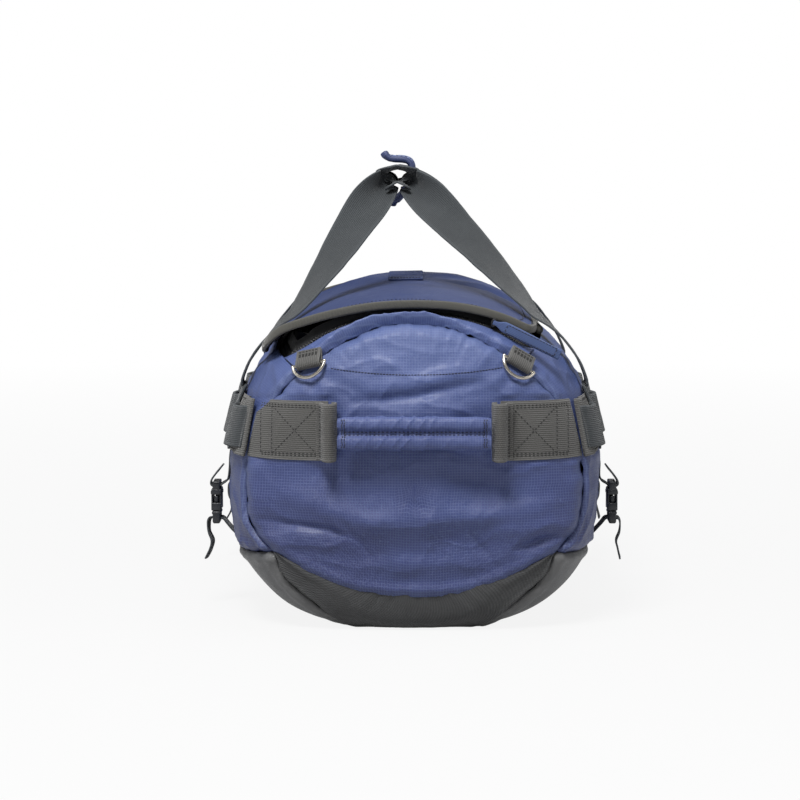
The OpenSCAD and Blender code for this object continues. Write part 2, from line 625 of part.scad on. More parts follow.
module ring_tab() rotate([90, 0, 90]) linear_extrude(ring_w - 3.6, center = true) difference() {
    union() {
        circle(r = ring_r + 0.3 + web_t, $fn = 48);
        translate([-web_t + 0.6, 0]) square([2 * web_t, tab_l]);
    }
    circle(r = ring_r + 0.3, $fn = 48);
}
module ring_tabs() color(grey) for (way = [0, 1], at = [ring_left, ring_right])
    mirror([0, way, 0]) on_end(at) ring_tab();
module near_left_ring() on_end(ring_left) ring();
module near_right_ring() on_end(ring_right) ring();
module far_left_ring() mirror([0, 1, 0]) on_end(ring_left) ring();
module far_right_ring() mirror([0, 1, 0]) on_end(ring_right) ring();

// ---- compression straps with side-release buckles, drawn on the near right side ----
socket_t = 9;
socket_w = strap_w + 6;
plug_h = 11;
buckle_top = band_z - band_w / 2 - 34;
buckle_z = buckle_top - socket_h;
buckle_x = side_x(buckle_z, strap_y) + socket_t / 2 + 12;
slot_h = web_t + 1.6;
module upper_strap() color(charcoal) {
    z0 = band_z - band_w / 2 - clear;
    x0 = side_x(z0, strap_y);
    z1 = buckle_top - 3 - slot_h / 2;
    p = [
        [x0 + 1.4, -strap_y, z0], [side_x(z0 - 14, strap_y) + 2.4, -strap_y, z0 - 14],
        [buckle_x - socket_t / 2 - 6, -strap_y, buckle_top + 2], [buckle_x - socket_t / 2 - 1.6, -strap_y, z1 + 1],
        [buckle_x - socket_t / 2 + 1.4, -strap_y, z1], [buckle_x + socket_t / 2 + 1, -strap_y, z1]
    ];
    strap(p, every([0, 1, 0], p), every(strap_w, p), every(web_t, p));
}
module both_ends() {
    children();
    mirror([0, 1, 0]) children();
}
module right_upper_straps() both_ends() upper_strap();
module left_upper_straps() mirror([1, 0, 0]) both_ends() upper_strap();
cavity_t = socket_t - 2 * socket_wall - 0.8;
cavity_w = socket_w - 2 * socket_wall - 1;
module socket() color(plastic) translate([buckle_x, -strap_y, buckle_z]) difference() {
    translate([0, 0, socket_h / 2]) cube([socket_t, socket_w, socket_h], center = true);
    translate([0, 0, (socket_h - 7 - slot_h) / 2 - 0.5])
        cube([cavity_t, cavity_w, socket_h - 6 - slot_h], center = true);
    translate([0, 0, socket_h - 3 - slot_h / 2]) cube([socket_t + 2, strap_w + 1.4, slot_h], center = true);
    translate([0, 0, socket_h * 0.42]) cube([cavity_t, socket_w + 2, 7], center = true);
}
module plug() color(plastic) translate([buckle_x, -strap_y, buckle_z - clear]) {
    arm_h = socket_h - 8.4 - slot_h;
    arm_t = cavity_t - 2 * clear;
    difference() {
        translate([0, 0, -plug_h / 2]) cube([socket_t - 1, socket_w, plug_h], center = true);
        translate([0, 0, -plug_h + 3 + slot_h / 2]) cube([socket_t + 2, strap_w + 1.4, slot_h], center = true);
    }
    for (s = [-1, 0, 1])
        translate([0, s * (cavity_w / 2 - clear - 1.4), arm_h / 2 - 0.1]) cube([arm_t, 2.8, arm_h + 0.2], center = true);
}
module lower_strap() color(charcoal) {
    z1 = buckle_z - clear - plug_h + 3 + slot_h / 2;
    half = socket_t / 2;
    low = [for (z = [34, 46, 58]) [side_x(z, strap_y, 2.2), -strap_y, z]];
    high = [for (q = [
            [-half - 5, -5], [-half - 1.6, -1], [-half + 1.6, 0], [half - 0.6, 0], [half + 2, -1], [half + 3.2, -4],
            [half + 3, -14], [half + 1, -25], [half + 4.4, -36]
        ]) [buckle_x + q[0], -strap_y, z1 + q[1]]];
    p = concat(low, high);
    strap(p, every([0, 1, 0], p), every(strap_w, p), every(web_t, p));
}
module near_right_socket() socket();
module near_left_socket() mirror([1, 0, 0]) socket();
module far_right_socket() mirror([0, 1, 0]) socket();
module far_left_socket() mirror([1, 0, 0]) mirror([0, 1, 0]) socket();
module near_right_plug() plug();
module near_left_plug() mirror([1, 0, 0]) plug();
module far_right_plug() mirror([0, 1, 0]) plug();
module far_left_plug() mirror([1, 0, 0]) mirror([0, 1, 0]) plug();
module near_right_strap() lower_strap();
module near_left_strap() mirror([1, 0, 0]) lower_strap();
module far_right_strap() mirror([0, 1, 0]) lower_strap();
module far_left_strap() mirror([1, 0, 0]) mirror([0, 1, 0]) lower_strap();

near_end_panel();
far_end_panel();
near_base_cap();
far_base_cap();
base_panel();
left_side_panel();
right_side_panel();
near_zip_gusset();
far_zip_gusset();
base_pad();
lid_panel();
lid_binding();
lid_zip_half();
lid_mesh_pocket();
lid_lash_patch();
hinge_fold();
body_zip_half();
zip_slider();
zip_pull();
left_side_webbing();
right_side_webbing();
near_end_webbing();
far_end_webbing();
left_lash_loops();
right_lash_loops();
left_handle();
left_handle_legs();
right_handle();
right_handle_legs();
left_handle_roots();
right_handle_roots();
grip_wrap();
near_grab_sleeve();
far_grab_sleeve();
near_grab_loops();
far_grab_loops();
ring_tabs();
near_left_ring();
near_right_ring();
far_left_ring();
far_right_ring();
left_upper_straps();
right_upper_straps();
near_left_socket();
near_right_socket();
far_left_socket();
far_right_socket();
near_left_plug();
near_right_plug();
far_left_plug();
far_right_plug();
near_left_strap();
near_right_strap();
far_left_strap();
far_right_strap();
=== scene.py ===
import json
import math
import bmesh
import bpy
import numpy as np
from mathutils import Matrix, Vector, noise
from mathutils.bvhtree import BVHTree


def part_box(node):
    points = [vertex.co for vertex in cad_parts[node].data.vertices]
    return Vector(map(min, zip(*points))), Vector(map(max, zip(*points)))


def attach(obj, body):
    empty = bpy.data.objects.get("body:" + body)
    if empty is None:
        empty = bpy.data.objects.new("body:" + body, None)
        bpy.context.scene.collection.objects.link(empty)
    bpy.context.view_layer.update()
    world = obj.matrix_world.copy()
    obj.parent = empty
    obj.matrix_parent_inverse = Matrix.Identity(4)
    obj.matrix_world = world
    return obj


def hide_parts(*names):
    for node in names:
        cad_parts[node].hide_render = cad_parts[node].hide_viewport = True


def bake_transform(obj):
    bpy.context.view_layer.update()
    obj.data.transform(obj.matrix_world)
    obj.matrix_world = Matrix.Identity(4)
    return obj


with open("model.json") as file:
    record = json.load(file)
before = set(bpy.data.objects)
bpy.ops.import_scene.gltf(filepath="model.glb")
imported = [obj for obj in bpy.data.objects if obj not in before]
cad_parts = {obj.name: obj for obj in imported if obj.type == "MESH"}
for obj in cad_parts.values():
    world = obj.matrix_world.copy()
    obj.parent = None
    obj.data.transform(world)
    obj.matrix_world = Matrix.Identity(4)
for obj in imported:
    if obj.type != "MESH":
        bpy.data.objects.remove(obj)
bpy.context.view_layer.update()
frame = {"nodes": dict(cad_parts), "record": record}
scene = bpy.context.scene
print("frame loaded:", len(frame["nodes"]), "nodes")

# studio and camera; each lamp has its place, target, size and power
studio = {
    "cameraDistance": 2.50, "eyeHeight": 0.40, "lookDown": 4.67, "lens": 135, "shift": -0.018,
    "paper": (0.50, 0.50, 0.50), "paperDark": (0.46, 0.46, 0.46), "paperGlow": 0.88, "paperFade": (0.2, 3.0),
    "mirrorGlow": 0.30, "fill": 0.21,
    "lamps": {
        "keyPanel": ((-0.45, -1.5, 2.2), (0, -0.2, 0.2), (0.9, 0.7), 60),
        "topPanel": ((0.3, 0.2, 2.4), (0, 0, 0.2), (1.2, 1.2), 11),
        "sidePanel": ((2.0, -0.7, 1.1), (0, 0, 0.2), (0.9, 1.2), 7),
        "leftPanel": ((-2.0, -0.3, 1.1), (0, 0, 0.2), (0.9, 1.2), 7),
        "backPanel": ((0.4, 2.2, 1.6), (0, 0.2, 0.2), (1.4, 1.0), 5),
    },
}


def makeStudio():
    camera = bpy.data.objects.new("camera", bpy.data.cameras.new("camera"))
    camera.data.lens = studio["lens"]
    camera.data.sensor_width = 36
    camera.data.shift_x = studio["shift"]
    camera.data.clip_end = 50
    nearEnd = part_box("near_end_panel")[0][1]
    camera.location = (0, nearEnd + 0.01 - studio["cameraDistance"], studio["eyeHeight"])
    camera.rotation_euler = (math.radians(90 - studio["lookDown"]), 0, 0)
    scene.collection.objects.link(camera)
    scene.camera = camera
    for name, (place, target, size, power) in studio["lamps"].items():
        lamp = bpy.data.lights.new(name, "AREA")
        lamp.shape = "RECTANGLE"
        lamp.size, lamp.size_y = size
        lamp.energy = power
        holder = bpy.data.objects.new(name, lamp)
        holder.location = place
        holder.rotation_euler = (Vector(target) - Vector(place)).to_track_quat("-Z", "Y").to_euler()
        scene.collection.objects.link(holder)
    scene.view_settings.view_transform = "Standard"


# finishes: a Wire is a socket that can be used in sums, and a Finish is a material being built
class Wire:
    def __init__(self, finish, socket):
        self.finish = finish
        self.socket = socket

    def math(self, operation, *others):
        return self.finish.node("Math", {"operation": operation}, dict(enumerate((self,) + others)))

    def __rsub__(self, other):
        return self.finish.node("Math", {"operation": "SUBTRACT"}, {0: other, 1: self})

    def clamped(self):
        return self.finish.node("Clamp", {}, {0: self})


def wireMethod(operation):
    return lambda self, *others: self.math(operation, *others)


for method, operation in {
    "__add__": "ADD", "__radd__": "ADD", "__sub__": "SUBTRACT", "__mul__": "MULTIPLY", "__rmul__": "MULTIPLY",
    "__truediv__": "DIVIDE", "__abs__": "ABSOLUTE", "part": "FRACT", "sine": "SINE", "larger": "MAXIMUM",
}.items():
    setattr(Wire, method, wireMethod(operation))


class Finish:
    def __init__(self, name, rough=0.6, metal=0.0, sheen=0.0, coat=0.0, specular=0.5):
        self.material = bpy.data.materials.new(name)
        self.material.use_nodes = True
        self.tree = self.material.node_tree
        self.tree.nodes.clear()
        self.surface = self.tree.nodes.new("ShaderNodeBsdfPrincipled")
        self.output = self.tree.nodes.new("ShaderNodeOutputMaterial")
        self.tree.links.new(self.surface.outputs[0], self.output.inputs[0])
        for socket, value in (
            ("Roughness", rough), ("Metallic", metal), ("Sheen Weight", sheen),
            ("Sheen Roughness", 0.4), ("Coat Weight", coat), ("Coat Roughness", 0.25),
            ("Specular IOR Level", specular),
        ):
            self.surface.inputs[socket].default_value = value

    def node(self, kind, settings, values, out=0):
        made = self.tree.nodes.new("ShaderNode" + kind)
        for key, value in settings.items():
            setattr(made, key, value)
        self.fill(made, values)
        return Wire(self, made.outputs[out])

    def fill(self, node, values):
        for key, value in values.items():
            if isinstance(value, Wire):
                self.tree.links.new(value.socket, node.inputs[key])
            else:
                node.inputs[key].default_value = value

    def uv(self):
        split = self.tree.nodes.new("ShaderNodeSeparateXYZ")
        self.fill(split, {0: self.node("UVMap", {"uv_map": "cloth"}, {})})
        return Wire(self, split.outputs[0]), Wire(self, split.outputs[1])

    def place(self):
        return self.node("TexCoord", {}, {}, "Object")

    def grain(self, scale, detail=3, rough=0.5, stretch=None):
        vector = self.place()
        if stretch:
            vector = self.node("Mapping", {}, {"Vector": vector, "Scale": stretch})
        return self.node(
            "TexNoise", {}, {"Vector": vector, "Scale": scale, "Detail": detail, "Roughness": rough}, "Fac")

    def blend(self, share, low, high):
        def whole(tint):
            return tint if isinstance(tint, Wire) else tuple(tint) + (1,)
        return self.node(
            "Mix", {"data_type": "RGBA"}, {"Factor": share, 6: whole(low), 7: whole(high)}, 2)

    def edge(self):
        return self.node("Attribute", {"attribute_name": "edge"}, {}, "Fac")

    def relief(self, height, depth, strength=1.0):
        return self.node("Bump", {}, {"Height": height, "Distance": depth, "Strength": strength})

    def done(self, colour, rough, normal, **others):
        self.fill(self.surface, {"Base Color": colour, "Roughness": rough, "Normal": normal, **others})
        return self.material


# 1 on a thin line at every step of the pitch, 0 between
def lines(at, pitch, width):
    return (1 - abs((at / pitch).part() - 0.5) * (pitch / width)).clamped()


def weave(u, v, pitch):
    return (u * (math.tau / pitch)).sine() * (v * (math.tau / pitch)).sine()


def tone(*sample):
    # a colour written as screen values 0 to 255, made linear
    shares = [v / 255 for v in sample]
    return tuple(v / 12.92 if v <= 0.04045 else ((v + 0.055) / 1.055) ** 2.4 for v in shares)


# the worn tone serves for real wear at the edges and also as the painted highlight at the top; the deep tone
# also carries the painted shade low down
ripstopLook = {
    "blue": tone(72, 87, 142), "pale": tone(126, 146, 188), "deep": tone(48, 53, 102),
    "worn": tone(112, 126, 162), "pitch": 0.0024, "line": 0.0004, "thread": 0.00052, "shine": 0.34,
}


def ripstopFinish():
    f = Finish("blueRipstop", coat=0.10, specular=0.45)
    drift = f.grain(35, 2) * 0.0012
    u, v = (at + drift for at in f.uv())
    pitch, line = ripstopLook["pitch"], ripstopLook["line"]
    grid = lines(u, pitch, line).larger(lines(v, pitch, line))
    fine = f.grain(240, 4, 0.6)
    # painted light: the cloth is painted darker low down as painted shade and lighter towards the top, where
    # the worn tone is laid on as a painted highlight
    high = f.node("SeparateXYZ", {}, {"Vector": f.place()}, "Z")
    body = f.blend((f.grain(11, 3) + high * 4.5 - 0.62).clamped(), ripstopLook["deep"], ripstopLook["blue"])
    # painted highlight: the worn tone laid over the upper part stands in for the top light; it is not wear
    body = f.blend(((high * 7 - 1.22).clamped() * 0.34).clamped(), body, ripstopLook["worn"])
    body = f.blend(grid * (0.12 + fine * 0.42), body, ripstopLook["pale"])
    body = f.blend((f.edge() * 0.4 * fine).clamped(), body, ripstopLook["worn"])
    height = grid * 0.35 + weave(u, v, ripstopLook["thread"]) * 0.12
    height = height + f.grain(95, 5, 0.62) * 2.6 + f.grain(28, 3) * 5.0
    rough = ripstopLook["shine"] + fine * 0.16 + grid * 0.08 + f.edge() * 0.08
    return f.done(body, rough, f.relief(height, 0.00035, 0.8))


lidLook = {
    "blue": tone(60, 76, 124), "deep": tone(44, 55, 94), "worn": tone(88, 104, 142),
    "weave": 0.0011, "shine": 0.50,
}


def lidFinish():
    f = Finish("lidCloth", coat=0.05, specular=0.35)
    fine = f.grain(420, 3, 0.6)
    body = f.blend(f.grain(9, 3), lidLook["deep"], lidLook["blue"])
    body = f.blend((f.edge() * 0.6 * fine).clamped(), body, lidLook["worn"])
    height = weave(*f.uv(), lidLook["weave"]) * 0.3 + f.grain(60, 5, 0.6) * 2.5 + fine * 0.4
    rough = lidLook["shine"] + f.grain(60, 4) * 0.16 + f.edge() * 0.1
    return f.done(body, rough, f.relief(height, 0.0003, 0.7))


webLook = {
    "grey": (tone(108, 107, 105), tone(54, 54, 53)), "charcoal": (tone(74, 78, 81), tone(38, 41, 43)),
    "blue": (tone(88, 106, 150), tone(52, 66, 108)), "tape": (tone(60, 61, 62), tone(34, 34, 35)),
    "binding": (tone(106, 105, 99), tone(66, 65, 61)), "bindingRib": 0.0013,
}


# woven band: u runs across it and v along it, both in metres
def webFinish(name, look, rib=0.0017, weft=0.0012, deep=0.00045):
    f = Finish(name, sheen=0.25, specular=0.3)
    u, v = f.uv()
    high, low = webLook[look]
    wale = abs((u * (math.pi / rib)).sine())
    stagger = (u / (rib * 2)).part().math("GREATER_THAN", 0.5) * 0.5
    pick = abs(((v / weft + stagger) * math.pi).sine())
    fuzz = f.grain(700, 4, 0.7)
    shade = (wale * (0.35 + pick * 0.45) + fuzz * 0.4 + (f.grain(26, 3) - 0.5) * 0.35).clamped()
    rub = (f.edge() * fuzz * 0.9).clamped()
    body = f.blend(rub, f.blend(shade, low, high), [min(1, c * 1.5) for c in high])
    height = wale * (0.45 + pick * 0.55) + fuzz * 0.5
    return f.done(body, 0.72 + fuzz * 0.2, f.relief(height, deep, 0.9))


# ribbed edge tape: the ribs cross it
def bindingFinish():
    f = Finish("edgeBinding", sheen=0.3, specular=0.3)
    u, v = f.uv()
    high, low = webLook["binding"]
    rib = abs((v * (math.pi / webLook["bindingRib"]) + u * 900 + f.grain(120, 2) * 1.2).sine())
    fuzz = f.grain(650, 4, 0.7)
    body = f.blend((rib * 0.4 + fuzz * 0.5).clamped(), low, high)
    return f.done(body, 0.75 + fuzz * 0.2, f.relief(rib * 0.6 + fuzz * 0.6, 0.0004, 0.9))


coarseLook = {
    "high": tone(88, 89, 90), "low": tone(50, 50, 51), "dust": tone(128, 127, 124),
    "pitch": 0.0013, "shine": 0.62,
}


def coarseFinish():
    f = Finish("coarseWeave", sheen=0.1, specular=0.35)
    u, v = f.uv()
    turn = math.pi / coarseLook["pitch"]
    knots = ((u * 1.0 + v * 0.75) * turn).sine() * ((u * 0.35 - v * 1.15) * turn).sine()
    fuzz = f.grain(520, 4, 0.7)
    shade = (knots * 0.24 + 0.45 + (fuzz - 0.5) * 0.5 + (f.grain(16, 3) - 0.5) * 0.4).clamped()
    body = f.blend(shade, coarseLook["low"], coarseLook["high"])
    body = f.blend((f.edge() * fuzz * 0.7).clamped(), body, coarseLook["dust"])
    return f.done(body, coarseLook["shine"] + fuzz * 0.25, f.relief(knots * 0.6 + fuzz * 0.6, 0.0004, 0.8))


satinLook = {
    "base": {"high": tone(104, 105, 107), "low": tone(66, 67, 69), "scuff": tone(136, 135, 133), "shine": 0.36},
    "lining": {"high": tone(96, 98, 104), "low": tone(64, 66, 74), "scuff": tone(120, 120, 124), "shine": 0.5},
    "navy": {"high": tone(62, 74, 118), "low": tone(40, 48, 84), "scuff": tone(84, 98, 136), "shine": 0.45},
    "weave": 0.0009,
}


def satinFinish(name, kind):
    f = Finish(name, coat=0.12, specular=0.5)
    look = satinLook[kind]
    fine = f.grain(300, 4, 0.6)
    body = f.blend(f.grain(14, 4), look["low"], look["high"])
    scuff = ((f.grain(60, 6, 0.7, stretch=(1, 0.25, 1)) - 0.6) * 4).clamped()
    body = f.blend((scuff * 0.35 + f.edge() * fine * 0.5).clamped(), body, look["scuff"])
    height = weave(*f.uv(), satinLook["weave"]) * 0.25 + f.grain(45, 5, 0.6) * 3 + fine * 0.4
    return f.done(body, look["shine"] + fine * 0.14 + scuff * 0.15, f.relief(height, 0.0003, 0.8))


def mouldedFinish(name, colour, shine):
    f = Finish(name, specular=0.5, coat=0.1)
    speck = f.grain(900, 3, 0.6)
    patch = f.grain(50, 4)
    body = f.blend((patch * 0.5 + speck * 0.3).clamped(), colour, [c * 1.7 + 0.004 for c in colour])
    return f.done(body, shine + speck * 0.12 + patch * 0.1, f.relief(speck, 0.00006, 0.8))


def metalFinish(name, bright, dull, shine):
    f = Finish(name, metal=1.0, specular=0.5)
    scratch = f.grain(700, 6, 0.7, stretch=(1, 0.15, 1))
    stain = f.grain(90, 4)
    body = f.blend((scratch * 0.4 + stain * 0.5).clamped(), dull, bright)
    return f.done(body, shine + scratch * 0.14 + stain * 0.08, f.relief(scratch, 0.00004, 0.6))


def threadFinish(name, colour):
    f = Finish(name, sheen=0.2, specular=0.3)
    twist = f.grain(1500, 2)
    body = f.blend(twist, [c * 0.6 for c in colour], [c * 1.5 for c in colour])
    return f.done(body, 0.7, f.relief(twist, 0.0002))


netLook = {"low": tone(34, 35, 40), "high": tone(74, 76, 84), "row": 0.0022, "step": 0.0026, "hole": 0.105}


def netFinish():
    f = Finish("pocketNet", sheen=0.1, specular=0.3)
    u, v = f.uv()
    row = v / netLook["row"]
    shift = (row * 0.5).part().math("GREATER_THAN", 0.5) * 0.5
    across = abs((u / netLook["step"] + shift).part() - 0.5)
    along = abs(row.part() - 0.5)
    hole = (across * across + along * along).math("LESS_THAN", netLook["hole"])
    body = f.blend(f.grain(900, 3), netLook["low"], netLook["high"])
    return f.done(body, 0.75, f.relief(across + along, 0.0003), Alpha=1 - hole)


def paperFinish():
    f = Finish("paperFloor", rough=0.9, specular=0.1)
    f.fill(f.surface, {"Base Color": f.blend(f.grain(30, 3) * 0.4, studio["paper"], studio["paperDark"])})
    ray = f.tree.nodes.new("ShaderNodeLightPath")
    glow = f.node("Emission", {}, {"Color": (1, 1, 1, 1), "Strength": 1.0})
    near, far = studio["paperFade"]
    away = f.node("VectorMath", {"operation": "LENGTH"}, {0: f.place()}, "Value")
    white = ((away - near) / (far - near)).clamped() * (1 - studio["paperGlow"]) + studio["paperGlow"]
    seen, mirrored = (Wire(f, ray.outputs["Is " + kind + " Ray"]) for kind in ("Camera", "Glossy"))
    share = (seen * white + mirrored * studio["mirrorGlow"]).clamped()
    mixed = f.node("MixShader", {}, {0: share, 1: Wire(f, f.surface.outputs[0]), 2: glow})
    f.fill(f.output, {0: mixed})
    return f.material


def makeBackdrop():
    bm = bmesh.new()
    bmesh.ops.create_grid(bm, x_segments=1, y_segments=1, size=12)
    floorMesh = bpy.data.meshes.new("floor")
    bm.to_mesh(floorMesh)
    bm.free()
    floor = bpy.data.objects.new("floor", floorMesh)
    floorMesh.materials.append(paperFinish())
    scene.collection.objects.link(floor)
    world = bpy.data.worlds.new("studioAir")
    scene.world = world
    world.use_nodes = True
    nodes, links = world.node_tree.nodes, world.node_tree.links
    nodes.clear()
    ray, either, pick, air, out = (
        nodes.new("ShaderNode" + kind) for kind in ("LightPath", "Math", "Mix", "Background", "OutputWorld"))
    either.operation = "MAXIMUM"
    pick.inputs[2].default_value = studio["fill"]
    pick.inputs[3].default_value = 1.0
    air.inputs["Color"].default_value = (1, 1, 1, 1)
    links.new(ray.outputs["Is Camera Ray"], either.inputs[0])
    links.new(ray.outputs["Is Transmission Ray"], either.inputs[1])
    links.new(either.outputs[0], pick.inputs[0])
    links.new(pick.outputs[0], air.inputs["Strength"])
    links.new(air.outputs[0], out.inputs[0])


makeStudio()
makeBackdrop()
print("studio ready")
finishes = {
    "ripstop": ripstopFinish(),
    "lid": lidFinish(),
    "coarse": coarseFinish(),
    "satin": satinFinish("satinBase", "base"),
    "lining": satinFinish("liningCloth", "lining"),
    "grey": webFinish("greyWebbing", "grey"),
    "charcoal": webFinish("charcoalWebbing", "charcoal", 0.0016, 0.0011),
    "navy": satinFinish("navyCloth", "navy"),
    "blueWeb": webFinish("blueWebbing", "blue", 0.0013, 0.0010, 0.0003),
    "tape": webFinish("zipTape", "tape", 0.0009, 0.0008, 0.0002),
    "binding": bindingFinish(),
    "thread": threadFinish("darkThread", tone(44, 48, 70)),
    "greyThread": threadFinish("greyThread", tone(52, 52, 52)),
    "buckle": mouldedFinish("buckleMoulding", tone(34, 36, 40), 0.26),
    "teeth": mouldedFinish("zipTeeth", tone(24, 24, 26), 0.34),
    "slider": metalFinish("sliderMetal", tone(90, 90, 92), tone(46, 46, 48), 0.3),
    "nickel": metalFinish("nickelWire", tone(226, 220, 208), tone(176, 170, 160), 0.14),
    "net": netFinish(),
}
print("finishes ready:", len(finishes))

# the bag's own form: rounded sections along its length, each point given by a station and an angle
# in degrees (0 right, 90 top, 180 left, 270 under)
bag = {
    "length": 0.640, "height": 0.282, "waist": 0.125, "endDome": 0.012, "flat": 0.003, "fall": 0.045,
    "cloth": 0.0012, "planRound": 6, "sideRound": 8, "footRound": 14, "topRound": 2.2, "baseRound": 2.8,
}
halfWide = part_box("right_side_panel")[1].x
halfLong = bag["length"] / 2 - bag["endDome"]
waist = bag["waist"]
up = Vector((0, 0, 1))


def vec(x, y, z=0.0):
    return Vector((x, y, z))


def sind(a):
    return math.sin(math.radians(a))


def cosd(a):
    return math.cos(math.radians(a))


def arch(v, n):
    # height of a rounded arch at v, its half width being 1
    return max(0, 1 - abs(v) ** n) ** (1 / n)


def bell(d, width):
    return math.exp(-(d / width) ** 2)


def fade(d, reach):
    return math.exp(-d / reach)


def between(v, low, high):
    return min(high, max(low, v))


def steps(low, high, count):
    return [low + (high - low) * k / count for k in range(count + 1)]


def ease(v):
    v = between(v, 0, 1)
    return v * v * (3 - 2 * v)


def crossRound(top):
    return bag["topRound" if top else "baseRound"]


def riseRound(top):
    return bag["sideRound" if top else "footRound"]


def planShare(y):
    return arch(y / halfLong, bag["planRound"])


def riseShare(y, top):
    fall = 1 - bag["fall"] * (y / halfLong) ** 2 if top else 1
    return arch(y / halfLong, riseRound(top)) * fall


def fullRise(top):
    return bag["height"] - waist if top else waist + bag["flat"]


def under(a):
    return max(0, -sind(a))


def station(share, a):
    n = bag["planRound"] + (riseRound(sind(a) >= 0) - bag["planRound"]) * sind(a) ** 2
    return halfLong * arch(min(1, share), n)


def skin(y, a, out=0.0):
    top = sind(a) >= 0
    e = 2 / crossRound(top)
    rise = fullRise(top) * riseShare(y, top) + out
    x, z = (math.copysign(abs(v) ** e, v) for v in (cosd(a), sind(a)))
    x *= halfWide * planShare(y) + out
    return vec(x, y * (halfLong + out) / halfLong, max(-out, waist + rise * z))


def angleAtX(x):
    return math.degrees(math.acos((x / halfWide) ** (bag["topRound"] / 2)))


def angleAtZ(z):
    top = z >= waist
    reach = (abs(z - waist) / fullRise(top)) ** (crossRound(top) / 2)
    return (1 if top else -1) * math.degrees(math.asin(reach))


def topZ(x, y, out=0.0):
    wide = halfWide * planShare(y) + out
    return waist + (fullRise(True) * riseShare(y, True) + out) * arch(x / wide, bag["topRound"])


def sideX(z, y, out=0.0):
    top = z >= waist
    rise = fullRise(top) * riseShare(y, top) + out
    return (halfWide * planShare(y) + out) * arch((z - waist) / rise, crossRound(top))


def dome(x, z):
    top = z >= waist
    n = crossRound(top)
    share = ((abs(x) / halfWide) ** n + (abs(z - waist) / fullRise(top)) ** n) ** (1 / n)
    return bag["endDome"] * (1 - min(1, share / 0.85) ** 2) ** 2


def endY(x, z, out=0.0):
    low, high = 0.0, halfLong
    for _ in range(20):
        y = (low + high) / 2
        if sideX(z, y, out) > abs(x):
            low = y
        else:
            high = y
    return (low + high) / 2 * (halfLong + out) / halfLong + dome(x, z)


lid = {
    "length": 0.548, "reach": 0.128, "corner": 0.032, "hingeX": 0.108, "hingeLong": 0.400, "hingeRound": 0.004,
    "lift": 0.005, "endLift": 0.004,
}
lidHalf, hingeHalf = lid["length"] / 2, lid["hingeLong"] / 2
hingeSeam = lid["hingeX"] + lid["hingeRound"] - 0.0004
zipSeam = lid["reach"] - 0.007
baseAngle = -angleAtZ(waist / 2)
hingeAngle = angleAtX(hingeSeam)
zipAngle = 180 - angleAtX(zipSeam)


def endShare(a):
    # how far out along the round end its seam lies
    notch = bell(math.degrees(math.asin(under(a))) - baseAngle, 8)
    return 0.83 + 0.06 * cosd(2 * a) ** 2 + 0.105 * under(a) ** 2 - 0.055 * notch


def capShare(a):
    return 0.748 + 0.07 * ((1 - under(a)) / (1 - sind(baseAngle))) ** 4


def seamY(a):
    return station(endShare(a), a)


chainY = lidHalf - 0.0014
zipY = chainY + 0.006
arcX = lid["reach"] - 0.048
turnRound = 0.016
turnAngle = math.degrees(math.acos(((arcX + 0.002) / (halfWide * planShare(zipY))) ** (bag["topRound"] / 2)))


def gussetY(a):
    side = zipAngle - 90 if a > 90 else 90 - hingeAngle
    corner = between((abs(a - 90) + turnAngle - 90) / (side + turnAngle - 90), 0, 1)
    return zipY - turnRound * (1 - math.sqrt(1 - corner ** 2))


def lidLeft(y):
    d = max(0, abs(y) - (lidHalf - lid["corner"]))
    return -lid["reach"] + lid["corner"] - math.sqrt(max(0, lid["corner"] ** 2 - d * d))


def lidRight(y):
    d = max(0, abs(y) - hingeHalf) / (lidHalf - hingeHalf)
    return lid["hingeX"] - lid["hingeRound"] - 0.0004 - 0.010 * (1 - math.sqrt(max(0, 1 - d * d)))


def lidZ(x, y, out):
    curl = (0.019 if x < 0 else 0.002) * (x / lid["reach"]) ** 4
    return (waist + (fullRise(True) * riseShare(y, True) + out) * arch(x / (halfWide + out), bag["topRound"])
            + (abs(y) / lidHalf) ** 10 * (lid["endLift"] + curl))


# shape tools
def rough(p, size, seed=0.0, octaves=2):
    return noise.fractal(Vector(p) / size + vec(seed, seed * 1.7, -seed), 1.0, 2.0, octaves)


def creases(p, size, seed=0.0):
    # sharp-crested folds, 0 to 1
    level = abs(rough(p, size, seed, 1))
    return (1 - level * 2.2) ** 3 if level < 0.45 else 0.0


def foldsAt(x, z, folds, stretch, start, power, swell=1):
    # height of the listed folds, each a broken line of x and z with a width and a height, in mm
    high = 0.0
    for line, wide, rise in folds:
        best, share = 1e9, 0
        for i, ((ax, az), (bx, bz)) in enumerate(zip(line, line[1:])):
            dx, dz = bx - ax, bz - az
            t = between(((x - ax) * dx + (z - az) * dz) / (dx * dx + dz * dz), 0, 1)
            d = math.hypot(x - ax - t * dx, z - az - t * dz)
            if d < best:
                best, share = d, (i + t) / (len(line) - 1)
        if best < wide * 3:  # beyond this the bell is flat
            taper = math.sin(math.pi * between(share * stretch + start, 0, 1)) ** power
            high += rise * 0.001 * bell(best, wide) * taper * swell
    return high


def resample(points, count):
    # a smooth curve through the points, in even steps
    fine = []
    n = len(points)
    for i in range(n - 1):
        a, b = Vector(points[i]), Vector(points[i + 1])
        before = Vector(points[i - 1]) if i else a * 2 - b
        after = Vector(points[i + 2]) if i + 2 < n else b * 2 - a
        for k in range(12):
            t = k / 12
            fine.append(0.5 * (
                a * 2 + (b - before) * t + (before * 2 - a * 5 + b * 4 - after) * t * t
                + (a * 3 - before - b * 3 + after) * t ** 3))
    fine.append(Vector(points[-1]))
    return [fine[k].lerp(fine[k + 1], between(t, 0, 1)) for k, t in evenSteps(fine, count)]


def farAlong(points):
    far = [0.0]
    for a, b in zip(points, points[1:]):
        far.append(far[-1] + (b - a).length)
    return far


